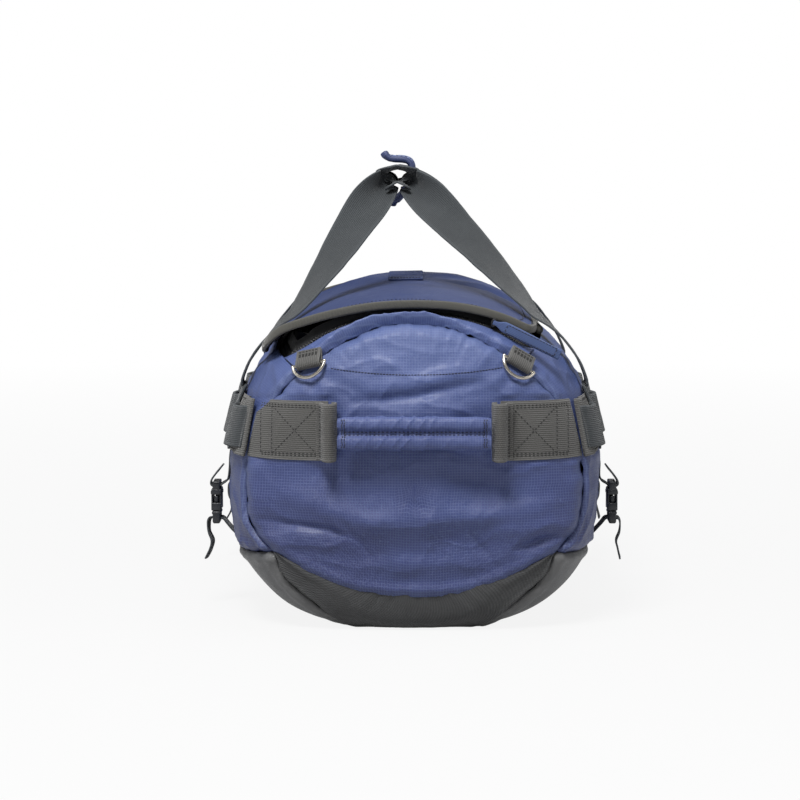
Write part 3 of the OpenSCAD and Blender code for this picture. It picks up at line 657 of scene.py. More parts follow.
def evenSteps(points, count):
    # even steps along a broken line, each as the number of its piece and the share along that piece
    far = farAlong(points)
    made, k = [], 0
    for i in range(count + 1):
        want = far[-1] * i / count
        while k < len(far) - 2 and far[k + 1] < want:
            k += 1
        made.append((k, (want - far[k]) / max(1e-9, far[k + 1] - far[k])))
    return made


def tangents(points):
    n = len(points)
    return [(points[min(i + 1, n - 1)] - points[max(i - 1, 0)]).normalized() for i in range(n)]


def mirrored(points):
    return [vec(p.x, -p.y, p.z) for p in reversed(points)]


def linked(name, mesh, *finish):
    for one in finish:
        mesh.materials.append(finishes[one])
    mesh.polygons.foreach_set("use_smooth", [True] * len(mesh.polygons))
    piece = bpy.data.objects.new(name, mesh)
    scene.collection.objects.link(piece)
    return piece


def newPiece(name, bm, finish, slotName, body, *replaced, thick=None, lined=None):
    # lined names the finish of the inner face
    mesh = bpy.data.meshes.new(name)
    bm.to_mesh(mesh)
    bm.free()
    piece = linked(name, mesh, finish, lined) if lined else linked(name, mesh, finish)
    if thick:
        wall = piece.modifiers.new("wall", "SOLIDIFY")
        wall.thickness = thick
        wall.offset = -1
        wall.material_offset = 1
        wall.material_offset_rim = 0
    if body:
        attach(piece, body)
    if replaced:
        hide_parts(*replaced)
    return piece


def addPart(bm, part):
    made = bpy.data.meshes.new("part")
    part.to_mesh(made)
    part.free()
    bm.from_mesh(made)
    bpy.data.meshes.remove(made)


def clothMesh(cols, rows, place):
    # a grid of cloth; place(i, j) gives a point, its two cloth coordinates and its share of wear
    bm = bmesh.new()
    bmesh.ops.create_grid(bm, x_segments=cols, y_segments=rows, size=1.0)
    cloth = bm.loops.layers.uv.new("cloth")
    wear = bm.verts.layers.float.new("edge")
    bm.verts.index_update()
    spots = []
    for v in bm.verts:
        spots.append(place(round((v.co.x + 1) / 2 * cols), round((v.co.y + 1) / 2 * rows)))
        v.co, v[wear] = spots[-1][0], spots[-1][3]
    for f in bm.faces:
        for loop in f.loops:
            loop[cloth].uv = spots[loop.vert.index][1:3]
    return bm


def clothGrid(cols, rows, at, relief, middle=(0, 0, waist), outward=None, floor=None):
    # at(s, t) gives a point, its cloth coordinates and its share of wear, relief the height over it on the
    # outer side, which faces away from the middle unless outward gives its direction
    spots = [[at(i / cols, j / rows) for j in range(rows + 1)] for i in range(cols + 1)]
    grid = np.array([[spot[0] for spot in row] for row in spots])
    normal = np.cross(np.gradient(grid, axis=0), np.gradient(grid, axis=1))
    normal /= np.maximum(np.linalg.norm(normal, axis=2, keepdims=True), 1e-12)
    away = grid - np.array(middle) if outward is None else np.array(outward, float)
    flip = (normal * away).sum() < 0
    if flip:
        normal = -normal

    def place(i, j):
        p, s, t, worn = spots[i][j]
        n = Vector(normal[i, j])
        p = p + n * relief(p, s, i / cols, j / rows)
        if floor is not None:
            p.z = max(p.z, floor)
        return p, s, t, worn

    bm = clothMesh(cols, rows, place)
    if flip:
        bmesh.ops.reverse_faces(bm, faces=bm.faces)
    return bm


def ribbon(path, across, width, thick, cols=12, square=8, fold=None, sway=None, worn=0.0):
    # a woven band swept along the path; across is its width direction, one for all points or one each,
    # and width and thick can be lists as well; fold is the angle it is folded by lengthwise
    n = len(path)
    far = farAlong(path)
    sides = []
    for i, t in enumerate(tangents(path)):
        face = t.cross(across[i] if isinstance(across, list) else across).normalized()
        sides.append((face.cross(t).normalized(), face))
    ring = []
    for k in range(2 * cols):
        x = math.cos(math.pi * k / cols)
        ring.append((x, arch(x, square) * (1 if k < cols else -1) if k % cols else 0.0))
    parts = 24
    halves = []
    for j in range(n):
        # middle line of the section, folded about its centre
        w = (width[j] if isinstance(width, list) else width) / 2
        bend = fold[j] if fold else 0.0
        x = y = 0.0
        half = [(0.0, 0.0, 0.0)]
        for k in range(parts):
            psi = bend / 2 * min(1, (k + 0.5) / parts / 0.3)
            x += math.cos(psi) * w / parts
            y += math.sin(psi) * w / parts
            half.append((x, y, bend / 2 * min(1, (k + 1) / parts / 0.3)))
        halves.append((w, half))

    def place(k, j):
        w, half = halves[j]
        h = (thick[j] if isinstance(thick, list) else thick) / 2
        side, face = sides[j]
        rx, ry = ring[k % (2 * cols)]
        s = abs(rx) * parts
        a = min(parts - 1, int(s))
        f = s - a
        hx, hy, psi = (half[a][q] * (1 - f) + half[a + 1][q] * f for q in range(3))
        px = (1 if rx >= 0 else -1) * (hx - ry * h * math.sin(psi))
        py = hy - half[-1][1] / 2 + ry * h * math.cos(psi)
        p = path[j] + side * px + face * py
        if sway:
            p = p + sway(p, rx * w, far[j], face)
        return p, rx * w, far[j], worn * ease(abs(rx) * 5 - 4)

    bm = clothMesh(2 * cols, n - 1, place)
    bmesh.ops.remove_doubles(bm, verts=bm.verts, dist=1e-7)
    bmesh.ops.holes_fill(bm, edges=[e for e in bm.edges if e.is_boundary], sides=0)
    bmesh.ops.recalc_face_normals(bm, faces=bm.faces)
    return bm


def block(bm, size, matrix, bevel, rounds=2):
    made = bmesh.ops.create_cube(bm, size=1.0, matrix=matrix @ Matrix.Diagonal((*size, 1)))
    edges = list({e for v in made["verts"] for e in v.link_edges})
    bmesh.ops.bevel(bm, geom=edges, offset=bevel, segments=rounds, profile=0.5, affect="EDGES",
                    clamp_overlap=True, material=-1)


def moved(x, y, z):
    return Matrix.Translation((x, y, z))


def turned(degrees, axis):
    return Matrix.Rotation(math.radians(degrees), 4, axis)


def placed(x, y, z, spot):
    # the frame with these three axes at the spot
    m = Matrix((x, y, z)).transposed().to_4x4()
    m.translation = spot
    return m


def tube(bm, points, radius, sides=10):
    # a round bar along the points
    along = tangents(points)
    lift = up if abs(along[0].z) < 0.9 else Vector((1, 0, 0))
    rings = []
    for p, t in zip(points, along):
        side = t.cross(lift).normalized()
        lift = side.cross(t).normalized()
        made = bmesh.ops.create_circle(bm, segments=sides, radius=radius, matrix=placed(side, lift, t, p))
        rings.append(list({e for v in made["verts"] for e in v.link_edges}))
    for low, high in zip(rings, rings[1:]):
        bmesh.ops.bridge_loops(bm, edges=low + high)
    for ring in (rings[0], rings[-1]):
        bmesh.ops.contextual_create(bm, geom=ring)


def copies(name, template, places, finish, body):
    # one small form repeated at many places, as one piece
    form = bpy.data.meshes.new("form")
    template.to_mesh(form)
    template.free()
    spots = np.array([v.co for v in form.vertices])
    faces = [list(p.vertices) for p in form.polygons]
    bpy.data.meshes.remove(form)
    points, polys = [], []
    for k, place in enumerate(places):
        m = np.array(place)
        points.append(spots @ m[:3, :3].T + m[:3, 3])
        polys += [[i + k * len(spots) for i in f] for f in faces]
    mesh = bpy.data.meshes.new(name)
    mesh.from_pydata(np.concatenate(points).tolist(), [], polys)
    piece = linked(name, mesh, finish)
    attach(piece, body)


stitching = {"pitch": 0.0034, "fine": 0.0026, "long": 0.0025, "thick": 0.00055, "lift": 0.0001}
stitchPlaces = {}


def sew(body, surface, line, toward, finish="thread", pitch=stitching["pitch"]):
    # stitches along the line, settled on the surface; toward is the direction that points off it
    points = resample(line, max(2, int(farAlong(line)[-1] / pitch)))
    places = stitchPlaces.setdefault((body, finish), [])
    for a, b, t in zip(points, points[1:], tangents(points)):
        p = (a + b) / 2
        way = toward(p) if callable(toward) else toward
        spot, n = surface.ray_cast(p + way * 0.012, -way, 0.03)[:2]
        if spot is None:
            continue
        if n.dot(way) < 0:
            n = -n
        side = n.cross(t).normalized()
        places.append(placed(t, side, t.cross(side), spot + n * stitching["lift"]) @ Matrix.Diagonal(
            (stitching["long"] / 2, stitching["thick"], stitching["thick"] * 0.8, 1)))


def surfaceOf(*pieces):
    # the made surfaces of the pieces, without their walls
    bm = bmesh.new()
    for piece in pieces:
        bm.from_mesh(piece.data)
    tree = BVHTree.FromBMesh(bm)
    bm.free()
    return tree

# end panels: crowned cloth, gathered along its seams and creased under the load
endLook = {
    "cells": 180, "radius": 0.15, "rim": 0.022, "tuck": 0.0030, "roll": 0.0020,
    "pucker": 0.0013, "puckerReach": 0.013, "spokes": 7, "spoke": 0.0012, "pressed": 0.0006,
    "yokeZ": 0.2235, "yokeSag": 0.0065, "yokeWide": 0.08,
}
# folds of each end as (line of x and z, width, height), all in millimetres
nearFolds = [
    ([(-96, 134), (-40, 128), (20, 131), (70, 128), (112, 132)], 17, -3.8),
    ([(-106, 116), (-73, 104), (-37, 94), (24, 97), (80, 100), (114, 105)], 9, 4.6),
    ([(-100, 78), (-40, 72), (30, 74), (96, 80)], 13, -2.6),
    ([(-118, 78), (-97, 79), (-74, 76)], 8, 3.2),
    ([(-127, 93), (-100, 90), (-72, 87), (-50, 80)], 3.5, -2.6),
    ([(128, 82), (106, 76), (84, 69)], 4, -3.0),
    ([(120, 92), (98, 88), (70, 84)], 6, 2.2),
    ([(-92, 190), (-74, 204), (-56, 220)], 9, 2.4),
    ([(-50, 194), (0, 199), (56, 211)], 4.5, -2.6),
    ([(-40, 205), (6, 211), (48, 221)], 7, 2.2),
    ([(-30, 180), (20, 184), (62, 192)], 8, 1.6),
    ([(-66, 150), (-62, 176), (-70, 200)], 4, -1.6),
    ([(64, 148), (70, 176), (88, 200)], 4, -1.8),
    ([(100, 150), (118, 176), (112, 204)], 5, 1.5),
    ([(-30, 60), (10, 56), (60, 60)], 7, 1.8),
    ([(-60, 94), (-44, 76), (-34, 58)], 3.5, -1.8),
    ([(40, 98), (50, 80), (64, 62)], 3.5, -1.6),
]
farFolds = [
    ([(-100, 130), (-30, 124), (40, 128), (104, 126)], 16, -3.4),
    ([(-98, 108), (-40, 98), (30, 95), (100, 104)], 9, 4.0),
    ([(-60, 80), (0, 72), (70, 78)], 12, -2.4),
    ([(-80, 200), (-20, 208), (50, 198)], 5, -2.4),
    ([(30, 188), (66, 206), (96, 214)], 8, 2.2),
    ([(-120, 86), (-94, 78), (-70, 80)], 4, -2.4),
    ([(126, 90), (100, 84), (76, 74)], 4, -2.6),
]


ringPlaces = [(low + high) / 2 for low, high in (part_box("near_left_ring"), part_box("near_right_ring"))]
endWebInner = abs(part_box("near_grab_sleeve")[1].x) + 0.008
bandZ = sum(p.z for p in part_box("near_end_webbing")) / 2


def rimShare(a):
    t = ease((under(a) - sind(baseAngle)) / 0.05 + 0.5)
    return endShare(a) * (1 - t) + capShare(a) * t


def meridians():
    # arc lengths from the middle of the end out to its rim, one row every three degrees
    made = []
    for a in range(0, 361, 3):
        rim, row = rimShare(a), [0.0]
        last = skin(station(0, a), a)
        for i in range(1, 33):
            spot = skin(station(rim * i / 32, a), a)
            row.append(row[-1] + ((spot - last).length if i > 1 else Vector((spot.x, spot.z - waist)).length))
            last = spot
        made.append(row)
    return made


endArcs = meridians()


def discPoint(s, t):
    # a square cell grid laid over the round end, as share of the way out and section angle
    s, t = s * 2 - 1, t * 2 - 1
    x, y = s * math.sqrt(1 - t * t / 2), t * math.sqrt(1 - s * s / 2)
    return min(1, math.hypot(x, y)), math.degrees(math.atan2(y, x)) % 360


def endCloth(end, way, folds, seed):
    def at(s, t):
        share, a = discPoint(s, t)
        reach = rimShare(a) * share
        p = skin(station(max(reach, 0.12), a), a)
        p.x, p.z = p.x * min(1, reach / 0.12), waist + (p.z - waist) * min(1, reach / 0.12)
        p.y = way * (p.y + dome(p.x, p.z))
        row, place = endArcs[int(a / 3) % 120], share * 32
        i = min(31, int(place))
        arc = row[i] + (row[i + 1] - row[i]) * (place - i)
        turn = math.atan2(p.z - waist, p.x) if share > 1e-4 else 0
        return p, math.cos(turn) * arc, math.sin(turn) * arc, ease((share - 0.90) / 0.1) * 0.9

    def relief(p, u, s, t):
        share, a = discPoint(s, t)
        away = (1 - share) * endLook["radius"]
        high = foldsAt(p.x * 1000, p.z * 1000, folds, 0.9, 0.05, 0.5, 1 + 0.35 * rough(p, 0.03, seed))
        bent = p + vec(rough(p, 0.05, seed + 4), 0, rough(p, 0.05, seed + 8)) * 0.012
        slack = vec(bent.x * 0.55, bent.y, bent.z * 1.15)
        calmRim = 0.35 + 0.65 * ease(away / endLook["rim"])
        high += (creases(slack, 0.056, seed) * 0.0020 + creases(slack, 0.027, seed + 3) * 0.0008) * calmRim
        high += rough(p, 0.085, seed) * 0.0036 * calmRim + rough(p, 0.020, seed + 2, 2) * 0.0006
        high += rough(p, 0.008, seed + 5) * 0.00018
        # gathers run in from the rim
        turn = vec(math.cos(math.radians(a)) * 0.14, share * 0.02, math.sin(math.radians(a)) * 0.14)
        gather = rough(turn, 0.0085, seed + 1, 2) + 0.5 * rough(turn, 0.019, seed + 6, 1)
        pucker = endLook["pucker"] * fade(away, endLook["puckerReach"])
        high += gather * pucker * (1.6 - 1.2 * ease(under(a) / 0.5))
        tuck = endLook["tuck"] * (1 - 0.75 * ease((under(a) - 0.1) / 0.3))
        high += endLook["roll"] * bell(away - 0.010, 0.007) - tuck * bell(away, 0.0035)
        for ring in ringPlaces:
            d = math.hypot(p.x - ring.x, p.z - ring.z - 0.004)
            dip = bell(d, 0.024)
            spoke = math.sin(math.atan2(p.z - ring.z, p.x - ring.x) * endLook["spokes"] + seed)
            high += spoke * endLook["spoke"] * bell(d - 0.022, 0.012)
            high = high * (1 - dip) - endLook["pressed"] * dip
        # flat under the webbing patches
        calm = ease((abs(p.x) - endWebInner + 0.008) / 0.008) * ease((0.031 - abs(p.z - bandZ)) / 0.006)
        return high * (1 - calm) - endLook["pressed"] * calm + 0.0004

    bm = clothGrid(endLook["cells"], endLook["cells"], at, relief, outward=(0, way, 0))
    return newPiece(end + "EndCloth", bm, "ripstop", "blue_ripstop", "bag", end + "_end_panel",
                    thick=bag["cloth"], lined="lining")


ends = {"near": -1, "far": 1}
sides = {"right": 1, "left": -1}
endPanels = {"near": endCloth("near", -1, nearFolds, 1.3), "far": endCloth("far", 1, farFolds, 7.9)}
for end, way in ends.items():
    # the yoke seam that sags between the two rings
    xs = np.linspace(-0.070, 0.074, 50)
    yoke = [(x, endLook["yokeZ"] - endLook["yokeSag"] * (1 - (x / endLook["yokeWide"]) ** 2)) for x in xs]
    line = [vec(x, way * endY(x, z), z) for x, z in yoke]
    sew("bag", surfaceOf(endPanels[end]), line, vec(0, way), pitch=stitching["fine"])
print("end panels sewn")

girthTable = farAlong([skin(0, k) for k in range(361)])


def girth(a):
    turns, a = divmod(a, 360)
    i = int(a)
    return turns * girthTable[-1] + girthTable[i] + (girthTable[min(360, i + 1)] - girthTable[i]) * (a - i)


# the panels between the seams: fromA and toA are section angles, first and last the stations
def skinPanel(name, fromA, toA, first, last, cells, relief, finish, slotName, node, floor=None, even=True):
    def at(s, t):
        a = fromA + (toA - fromA) * s
        share = (1 - math.cos(math.pi * t)) / 2 * 0.5 + t * 0.5 if even else t
        y = first(a) + (last(a) - first(a)) * share
        return skin(y, a), girth(a), y, max(ease(1 - t * 30), ease(1 - (1 - t) * 30))

    bm = clothGrid(*cells, at, relief, floor=floor)
    return newPiece(name, bm, finish, slotName, "bag", node, thick=bag["cloth"], lined="lining")


seam = {"deep": 0.0028, "width": 0.0032, "roll": 0.0016, "rollAt": 0.009, "rollWidth": 0.006}


def seamDip(d, deep=seam["deep"]):
    # valley at a seam with the cloth rolling up beside it; d is the distance from the seam
    return seam["roll"] * bell(d - seam["rollAt"], seam["rollWidth"]) - deep * bell(d, seam["width"])


def loadWrinkles(p, seed):
    bent = p + vec(rough(p, 0.06, seed + 4), rough(p, 0.06, seed + 6), rough(p, 0.06, seed + 8)) * 0.014
    slack = vec(bent.x, bent.y * 0.6, bent.z * 1.1)
    return (creases(slack, 0.055, seed) * 0.0018 + creases(slack, 0.028, seed + 3) * 0.0009
            + rough(p, 0.09, seed) * 0.0024 + rough(p, 0.022, seed + 2, 3) * 0.0007)


def seamFirst(a):
    return -seamY(a) + 0.0003


def seamLast(a):
    return seamY(a) - 0.0003


# heights and reaches of the gathers at the end seams, the base seam and the zip
sideLook = {"long": 0.60, "high": 0.19, "end": (0.0020, 0.018), "foot": (0.0014, 0.016), "zip": (0.0012, 0.014)}


def gathers(p, size, seed, d, look):
    return rough(p, size, seed) * look[0] * fade(d, look[1])


def sidePanel(side, fromA, toA, seed, zipFirst, zipReach):
    def relief(p, u, s, t):
        toEnd = min(t, 1 - t) * sideLook["long"]
        toZip, toBase = (q * sideLook["high"] for q in ((s, 1 - s) if zipFirst else (1 - s, s)))
        high = loadWrinkles(p, seed)
        high += gathers(vec(p.z, p.x, t * 0.05), 0.011, seed + 1, toEnd, sideLook["end"]) + seamDip(toEnd)
        high += gathers(vec(p.y, s * 0.02), 0.012, seed + 2, toBase, sideLook["foot"]) + seamDip(toBase, 0.0022)
        high += gathers(vec(p.y, s * 0.02, 0.3), 0.016, seed + 5, toZip, sideLook["zip"])
        calm = ease((0.030 - abs(p.z - bandZ)) / 0.006)
        high = high * (1 - calm) + min(high, -0.0002) * 0.3 * calm
        return high * (1 - 0.9 * ease(1 - toZip / zipReach))

    return skinPanel(side + "SideCloth", fromA, toA, seamFirst, seamLast, (90, 250), relief,
                     "ripstop", "blue_ripstop", side + "_side_panel")


sidePanel("left", zipAngle, 180 + baseAngle, 11.2, True, 0.006)
sidePanel("right", -baseAngle, hingeAngle, 15.7, False, 0.034)


gussetLook = {"pleat": 0.0042, "deep": 0.0011, "wide": 0.034, "crown": 0.0016, "puff": 0.0052, "uneven": 0.0012}


def gusset(end, way, seed):
    def relief(p, u, s, t):
        pleat = math.sin(u / gussetLook["pleat"] + 2.2 * rough(vec(u, 0, t * 0.01), 0.02, seed))
        deep = gussetLook["deep"] * (0.6 + 0.6 * rough(vec(u, 0.2), 0.05, seed + 2))
        high = pleat * deep * math.exp(-t * 1.8)
        high += creases(vec(u * 1.4, t * 0.03), 0.02, seed + 4) * 0.0016 * (1 - t)
        high += seamDip(t * gussetLook["wide"], 0.0026) + gussetLook["crown"] * math.sin(math.pi * t)
        high += rough(p, 0.03, seed) * 0.0010
        # puffed out beside the middle of the zip
        full = ease((p.x + 0.100) / 0.055) * ease((0.046 - p.x) / 0.036)
        full *= ease(t / 0.30) * ease((0.62 - t) / 0.30)
        high += full * (gussetLook["puff"] + gussetLook["uneven"] * rough(vec(u, 0), 0.016, seed + 7))
        return high * (1 - 0.9 * ease((t - 0.90) / 0.10))

    skinPanel(end + "ZipGusset", hingeAngle + 0.2, zipAngle - 0.2, lambda a: way * (seamY(a) - 0.0003),
              lambda a: way * gussetY(a), (210, 30), relief, "ripstop", "blue_ripstop", end + "_zip_gusset",
              even=False)


gusset("near", -1, 21.1)
gusset("far", 1, 25.4)


capLook = {
    "wide": 0.05, "long": 0.4, "out": 0.0012, "gathers": (0.0009, 0.010), "overlap": 0.0012, "tuck": 0.002,
}


def baseCap(end, way, seed):
    def relief(p, u, s, t):
        d = min(t, 1 - t) * capLook["wide"]
        high = capLook["out"] + rough(p, 0.05, seed) * 0.0012 + rough(p, 0.012, seed + 2) * 0.0004
        high += gathers(vec(u, t * 0.03), 0.010, seed + 1, d, capLook["gathers"])
        high += seamDip(d, 0.0008 if t < 0.5 else 0.0026)
        return high - capLook["tuck"] * fade(min(s, 1 - s) * capLook["long"], 0.004)

    skinPanel(end + "BaseCap", 180 + baseAngle, 360 - baseAngle,
              lambda a: way * (station(capShare(a), a) + capLook["overlap"]),
              lambda a: way * (seamY(a) + 0.0003),
              (190, 34), relief, "coarse", "base_weave", end + "_base_cap", floor=0.0004, even=False)


baseCap("near", -1, 31.5)
baseCap("far", 1, 35.2)


baseLook = {"long": 0.58, "wide": 0.42, "end": (0.0013, 0.016), "side": (0.0012, 0.014), "out": 0.0004}


def baseRelief(p, u, s, t):
    toEnd, toSide = min(t, 1 - t) * baseLook["long"], min(s, 1 - s) * baseLook["wide"]
    high = rough(p, 0.07, 41) * 0.0016 + creases(vec(p.x, p.y * 0.5, p.z), 0.06, 42) * 0.0012
    high += gathers(vec(p.z, p.x, t * 0.05), 0.012, 43, toEnd, baseLook["end"]) + seamDip(toEnd, 0.0024)
    high += gathers(vec(p.y, s * 0.02), 0.012, 44, toSide, baseLook["side"]) + seamDip(toSide, 0.0022)
    return high + baseLook["out"]


skinPanel("baseCloth", 180 + baseAngle + 0.2, 360 - baseAngle - 0.2, seamFirst, seamLast, (150, 200),
          baseRelief, "satin", "base_satin", "base_panel", floor=0.0)

# binding tape covers every seam on the inside
seamTape = {"wide": 0.018, "thick": 0.0009, "deep": -0.0047}
tapes = bmesh.new()


def addTape(points, across):
    addPart(tapes, ribbon(points, across, seamTape["wide"], seamTape["thick"], cols=5, square=3))


def roundTape(at, way, first, last, count):
    angles = steps(first, last, count)
    addTape([skin(way * at(a), a, seamTape["deep"]) for a in angles],
            [(skin(way * (at(a) + 0.004), a) - skin(way * (at(a) - 0.006), a)).normalized() for a in angles])


def longTape(a, y0, y1, count):
    ys = np.linspace(y0, y1, count)
    addTape([skin(y, a, seamTape["deep"]) for y in ys],
            [(skin(y, a + 2) - skin(y, a - 2)).normalized() for y in ys])


for way in (-1, 1):
    roundTape(lambda a: station(rimShare(a), a), way, 2, 358, 240)
    roundTape(seamY, way, 176 + baseAngle, 364 - baseAngle, 120)
    for a in (zipAngle, hingeAngle):
        longTape(a, way * (gussetY(a) - 0.004), way * (seamY(a) + 0.004), 8)
for a in (-baseAngle, 180 + baseAngle):
    longTape(a, -seamY(a) - 0.004, seamY(a) + 0.004, 60)
newPiece("seamTapes", tapes, "lining", "base_satin", "bag")
print("body panels sewn")

# the padded board inside, quilted in squares
board = {"from": 226, "span": 88, "squares": (4, 9), "sunk": 0.0032, "thick": 0.0030, "swell": 0.0019}


def topOfFloor(p):
    # height of the inner face of the base under a point
    x = min(abs(p.x), halfWide * 0.999)
    return waist - (fullRise(False) - board["sunk"]) * arch(x / (halfWide - board["sunk"]), bag["baseRound"])


def padPiece():
    low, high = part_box("base_pad")
    long, wide = (high.y - low.y) / 2, (high.x - low.x) / 2

    def at(s, t):
        y = (t * 2 - 1) * long
        p = skin(y, board["from"] + board["span"] * s, -board["sunk"])
        return p, p.x, y, 0.0

    def relief(p, u, s, t):
        across, along = board["squares"]
        quilt = abs(math.sin(math.pi * s * across)) * abs(math.sin(math.pi * t * along))
        edge = min(min(s, 1 - s) * 2 * wide, min(t, 1 - t) * 2 * long)
        return -(board["thick"] + board["swell"] * quilt ** 0.35 * ease(edge / 0.012))

    bm = clothGrid(120, 240, at, relief)
    made = bmesh.ops.duplicate(bm, geom=bm.verts[:] + bm.edges[:] + bm.faces[:])
    for v in (e for e in made["geom"] if isinstance(e, bmesh.types.BMVert)):
        v.co.z = max(topOfFloor(v.co), 0.0034)
    bmesh.ops.reverse_faces(bm, faces=[e for e in made["geom"] if isinstance(e, bmesh.types.BMFace)])
    bmesh.ops.bridge_loops(bm, edges=[e for e in bm.edges if e.is_boundary])
    bmesh.ops.recalc_face_normals(bm, faces=bm.faces)
    pad = newPiece("floorBoard", bm, "lining", "base_foam", "bag", "base_pad")


padPiece()
print("floor board in")

# lid: a stiff coated cloth with a soft fold across its right side, edge tape all round its free edge
lidFolds = [
    ([(90, -58), (60, -62), (20, -60)], 5.0, 4.2),
    ([(98, -70), (60, -74), (24, -70)], 5.0, -1.6),
    ([(90, 60), (40, 66), (0, 58)], 8, 1.6),
    ([(-100, -120), (-70, -100), (-30, -108)], 9, 1.5),
    ([(-96, 110), (-50, 96), (0, 104)], 9, 1.4),
]


def lidPoint(y, share, out):
    x = lidRight(y) + (lidLeft(y) - lidRight(y)) * share
    return vec(x, y, lidZ(x, y, out))


lidSheet = {
    "wide": 0.23, "long": 0.54, "cells": (110, 240), "thick": 0.0016, "seamIn": 0.0085, "seamDeep": 0.0006,
}


def lidInset(s, t):
    return min(min(s, 1 - s) * lidSheet["wide"], min(t, 1 - t) * lidSheet["long"])


def lidAt(s, t):
    y = lidHalf * math.sin(math.pi * (t - 0.5)) * 0.5 + lidHalf * (t * 2 - 1) * 0.5
    p = lidPoint(y, s, lid["lift"] - 0.0006)
    return p, p.x, y, ease(1 - lidInset(s, t) / 0.012) * 0.6


def lidRelief(p, u, s, t):
    high = foldsAt(p.x * 1000, p.y * 1000, lidFolds, 0.8, 0.2, 0.6)
    high += rough(p, 0.09, 51) * 0.0012 + rough(p, 0.026, 52, 3) * 0.0004 + creases(p, 0.05, 53) * 0.0006
    edge = lidInset(s, t)
    gather = rough(vec(p.x, p.y), 0.009, 54) * 0.0004 * fade(abs(edge - 0.010), 0.006)
    return high * ease(edge / 0.014) + gather - lidSheet["seamDeep"] * bell(edge - lidSheet["seamIn"], 0.0014)


lidCloth = newPiece("lidCloth", clothGrid(*lidSheet["cells"], lidAt, lidRelief), "lid", "lid_fabric", "lid",
                    "lid_panel", thick=lidSheet["thick"], lined="lining")
lidTop = surfaceOf(lidCloth)


def lidEdge(out):
    start = hingeHalf + 0.003
    ys = [-start - (lidHalf - start) * sind(90 * i / 7) for i in range(8)]
    near = [vec(lidRight(y), y, lidZ(lidRight(y), y, out)) for y in ys]
    near += [lidPoint(-lidHalf, 0.08 + 0.084 * k, out) for k in range(11)]
    ys = [-lidHalf + lid["corner"] * (1 - cosd(15 * i)) for i in range(7)]
    near += [vec(lidLeft(y), y, lidZ(lidLeft(y), y, out)) for y in ys]
    ys = [(lidHalf - lid["corner"]) * (i / 6 - 1) for i in range(1, 12)]
    return near + [vec(-lid["reach"], y, lidZ(-lid["reach"], y, out)) for y in ys] + mirrored(near)


def lidLine(out, d):
    # the lid's edge at a height, moved out by d
    points = lidEdge(out)
    return resample([p + vec(-t.y, t.x).normalized() * d for p, t in zip(points, tangents(points))], 420)


def bindingSway(p, x, far, face):
    return face * (rough(vec(far, 0), 0.03, 61) * 0.0004) + vec(0, 0, rough(vec(far, 1), 0.05, 62) * 0.0006)


edgeTape = {
    "width": 0.0072, "thick": 0.0029, "lift": 0.0032, "out": 0.0012, "sewLift": 0.0046,
    "sewIn": (0.0016, 0.0095),
}
line = lidLine(edgeTape["lift"], edgeTape["out"])
tape = ribbon(line, up, edgeTape["width"], edgeTape["thick"], cols=7, square=3, sway=bindingSway, worn=0.7)
newPiece("lidEdgeTape", tape, "binding", "binding", "lid", "lid_binding")
for inside, thread in zip(edgeTape["sewIn"], ("greyThread", "thread")):
    sew("lid", lidTop, lidLine(edgeTape["sewLift"], -inside), up, thread)
hingeEdge = [lidPoint(y, 0, edgeTape["sewLift"]) + vec(-0.007, 0) for y in (-0.2, -0.1, 0, 0.1, 0.2)]
sew("lid", lidTop, resample(hingeEdge, 40), up)

# the raised patch on the lid: a strip of blue webbing sewn down by bars
patchLow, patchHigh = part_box("lid_lash_patch")
patchX = (patchLow.x + patchHigh.x) / 2
patchSet = {"pitch": 0.0375, "low": 0.0012, "bow": 0.0016, "thick": 0.0018, "tack": 0.014, "bars": 4}


def patchAt(y):
    bar = abs(((y / patchSet["pitch"] + 0.5) % 1) - 0.5) * 2
    return patchSet["low"] + patchSet["bow"] * ease((bar - 0.15) / 0.4)


patchLine = []
for y in steps(patchLow.y, patchHigh.y, 150):
    spot = lidTop.ray_cast(vec(patchX, y, 0.4), -up)[0]
    patchLine.append(vec(patchX, y, spot.z + patchAt(y) * 0.8))
strip = ribbon(patchLine, vec(1, 0, 0.02), patchHigh.x - patchLow.x, patchSet["thick"], cols=16, worn=0.5)
strip = newPiece("lidLashPatch", strip, "lid", "blue_ripstop", "lid", "lid_lash_patch")
stripTop = surfaceOf(strip)
for y in steps(patchLow.y + 0.004, patchHigh.y - 0.004, patchSet["bars"]):
    for off in (-0.0009, 0, 0.0009):
        line = [vec(patchX + x, y + off, 0.3) for x in (-patchSet["tack"], patchSet["tack"])]
        sew("lid", stripTop, line, up, pitch=0.0027)

# net pocket under the lid, with a bound rim
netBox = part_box("lid_mesh_pocket")
netSet = {"share": 0.7, "lift": -0.0052, "wide": 0.16, "long": 0.38, "sag": 0.0022, "rim": (0.009, 0.0014)}


def netAt(s, t):
    y = lidHalf * netSet["share"] * (t * 2 - 1)
    p = lidPoint(y, 0.5 + (s - 0.5) * netSet["share"], lid["lift"] + netSet["lift"])
    return p, s * (netBox[1].x - netBox[0].x), y, 0.0


def netRelief(p, u, s, t):
    rim = min(min(s, 1 - s) * netSet["wide"], min(t, 1 - t) * netSet["long"])
    return -(0.0006 + netSet["sag"] * ease(rim / 0.03) + 0.0007 * rough(p, 0.03, 71) * ease(rim / 0.01))


def rimOf(at, cols, rows):
    # once round the edge of a sheet
    shares = [(0, k / rows) for k in range(rows + 1)] + [(k / cols, 1) for k in range(1, cols + 1)]
    shares += [(1, 1 - k / rows) for k in range(1, rows + 1)] + [(1 - k / cols, 0) for k in range(1, cols + 1)]
    return [at(s, t)[0] for s, t in shares]


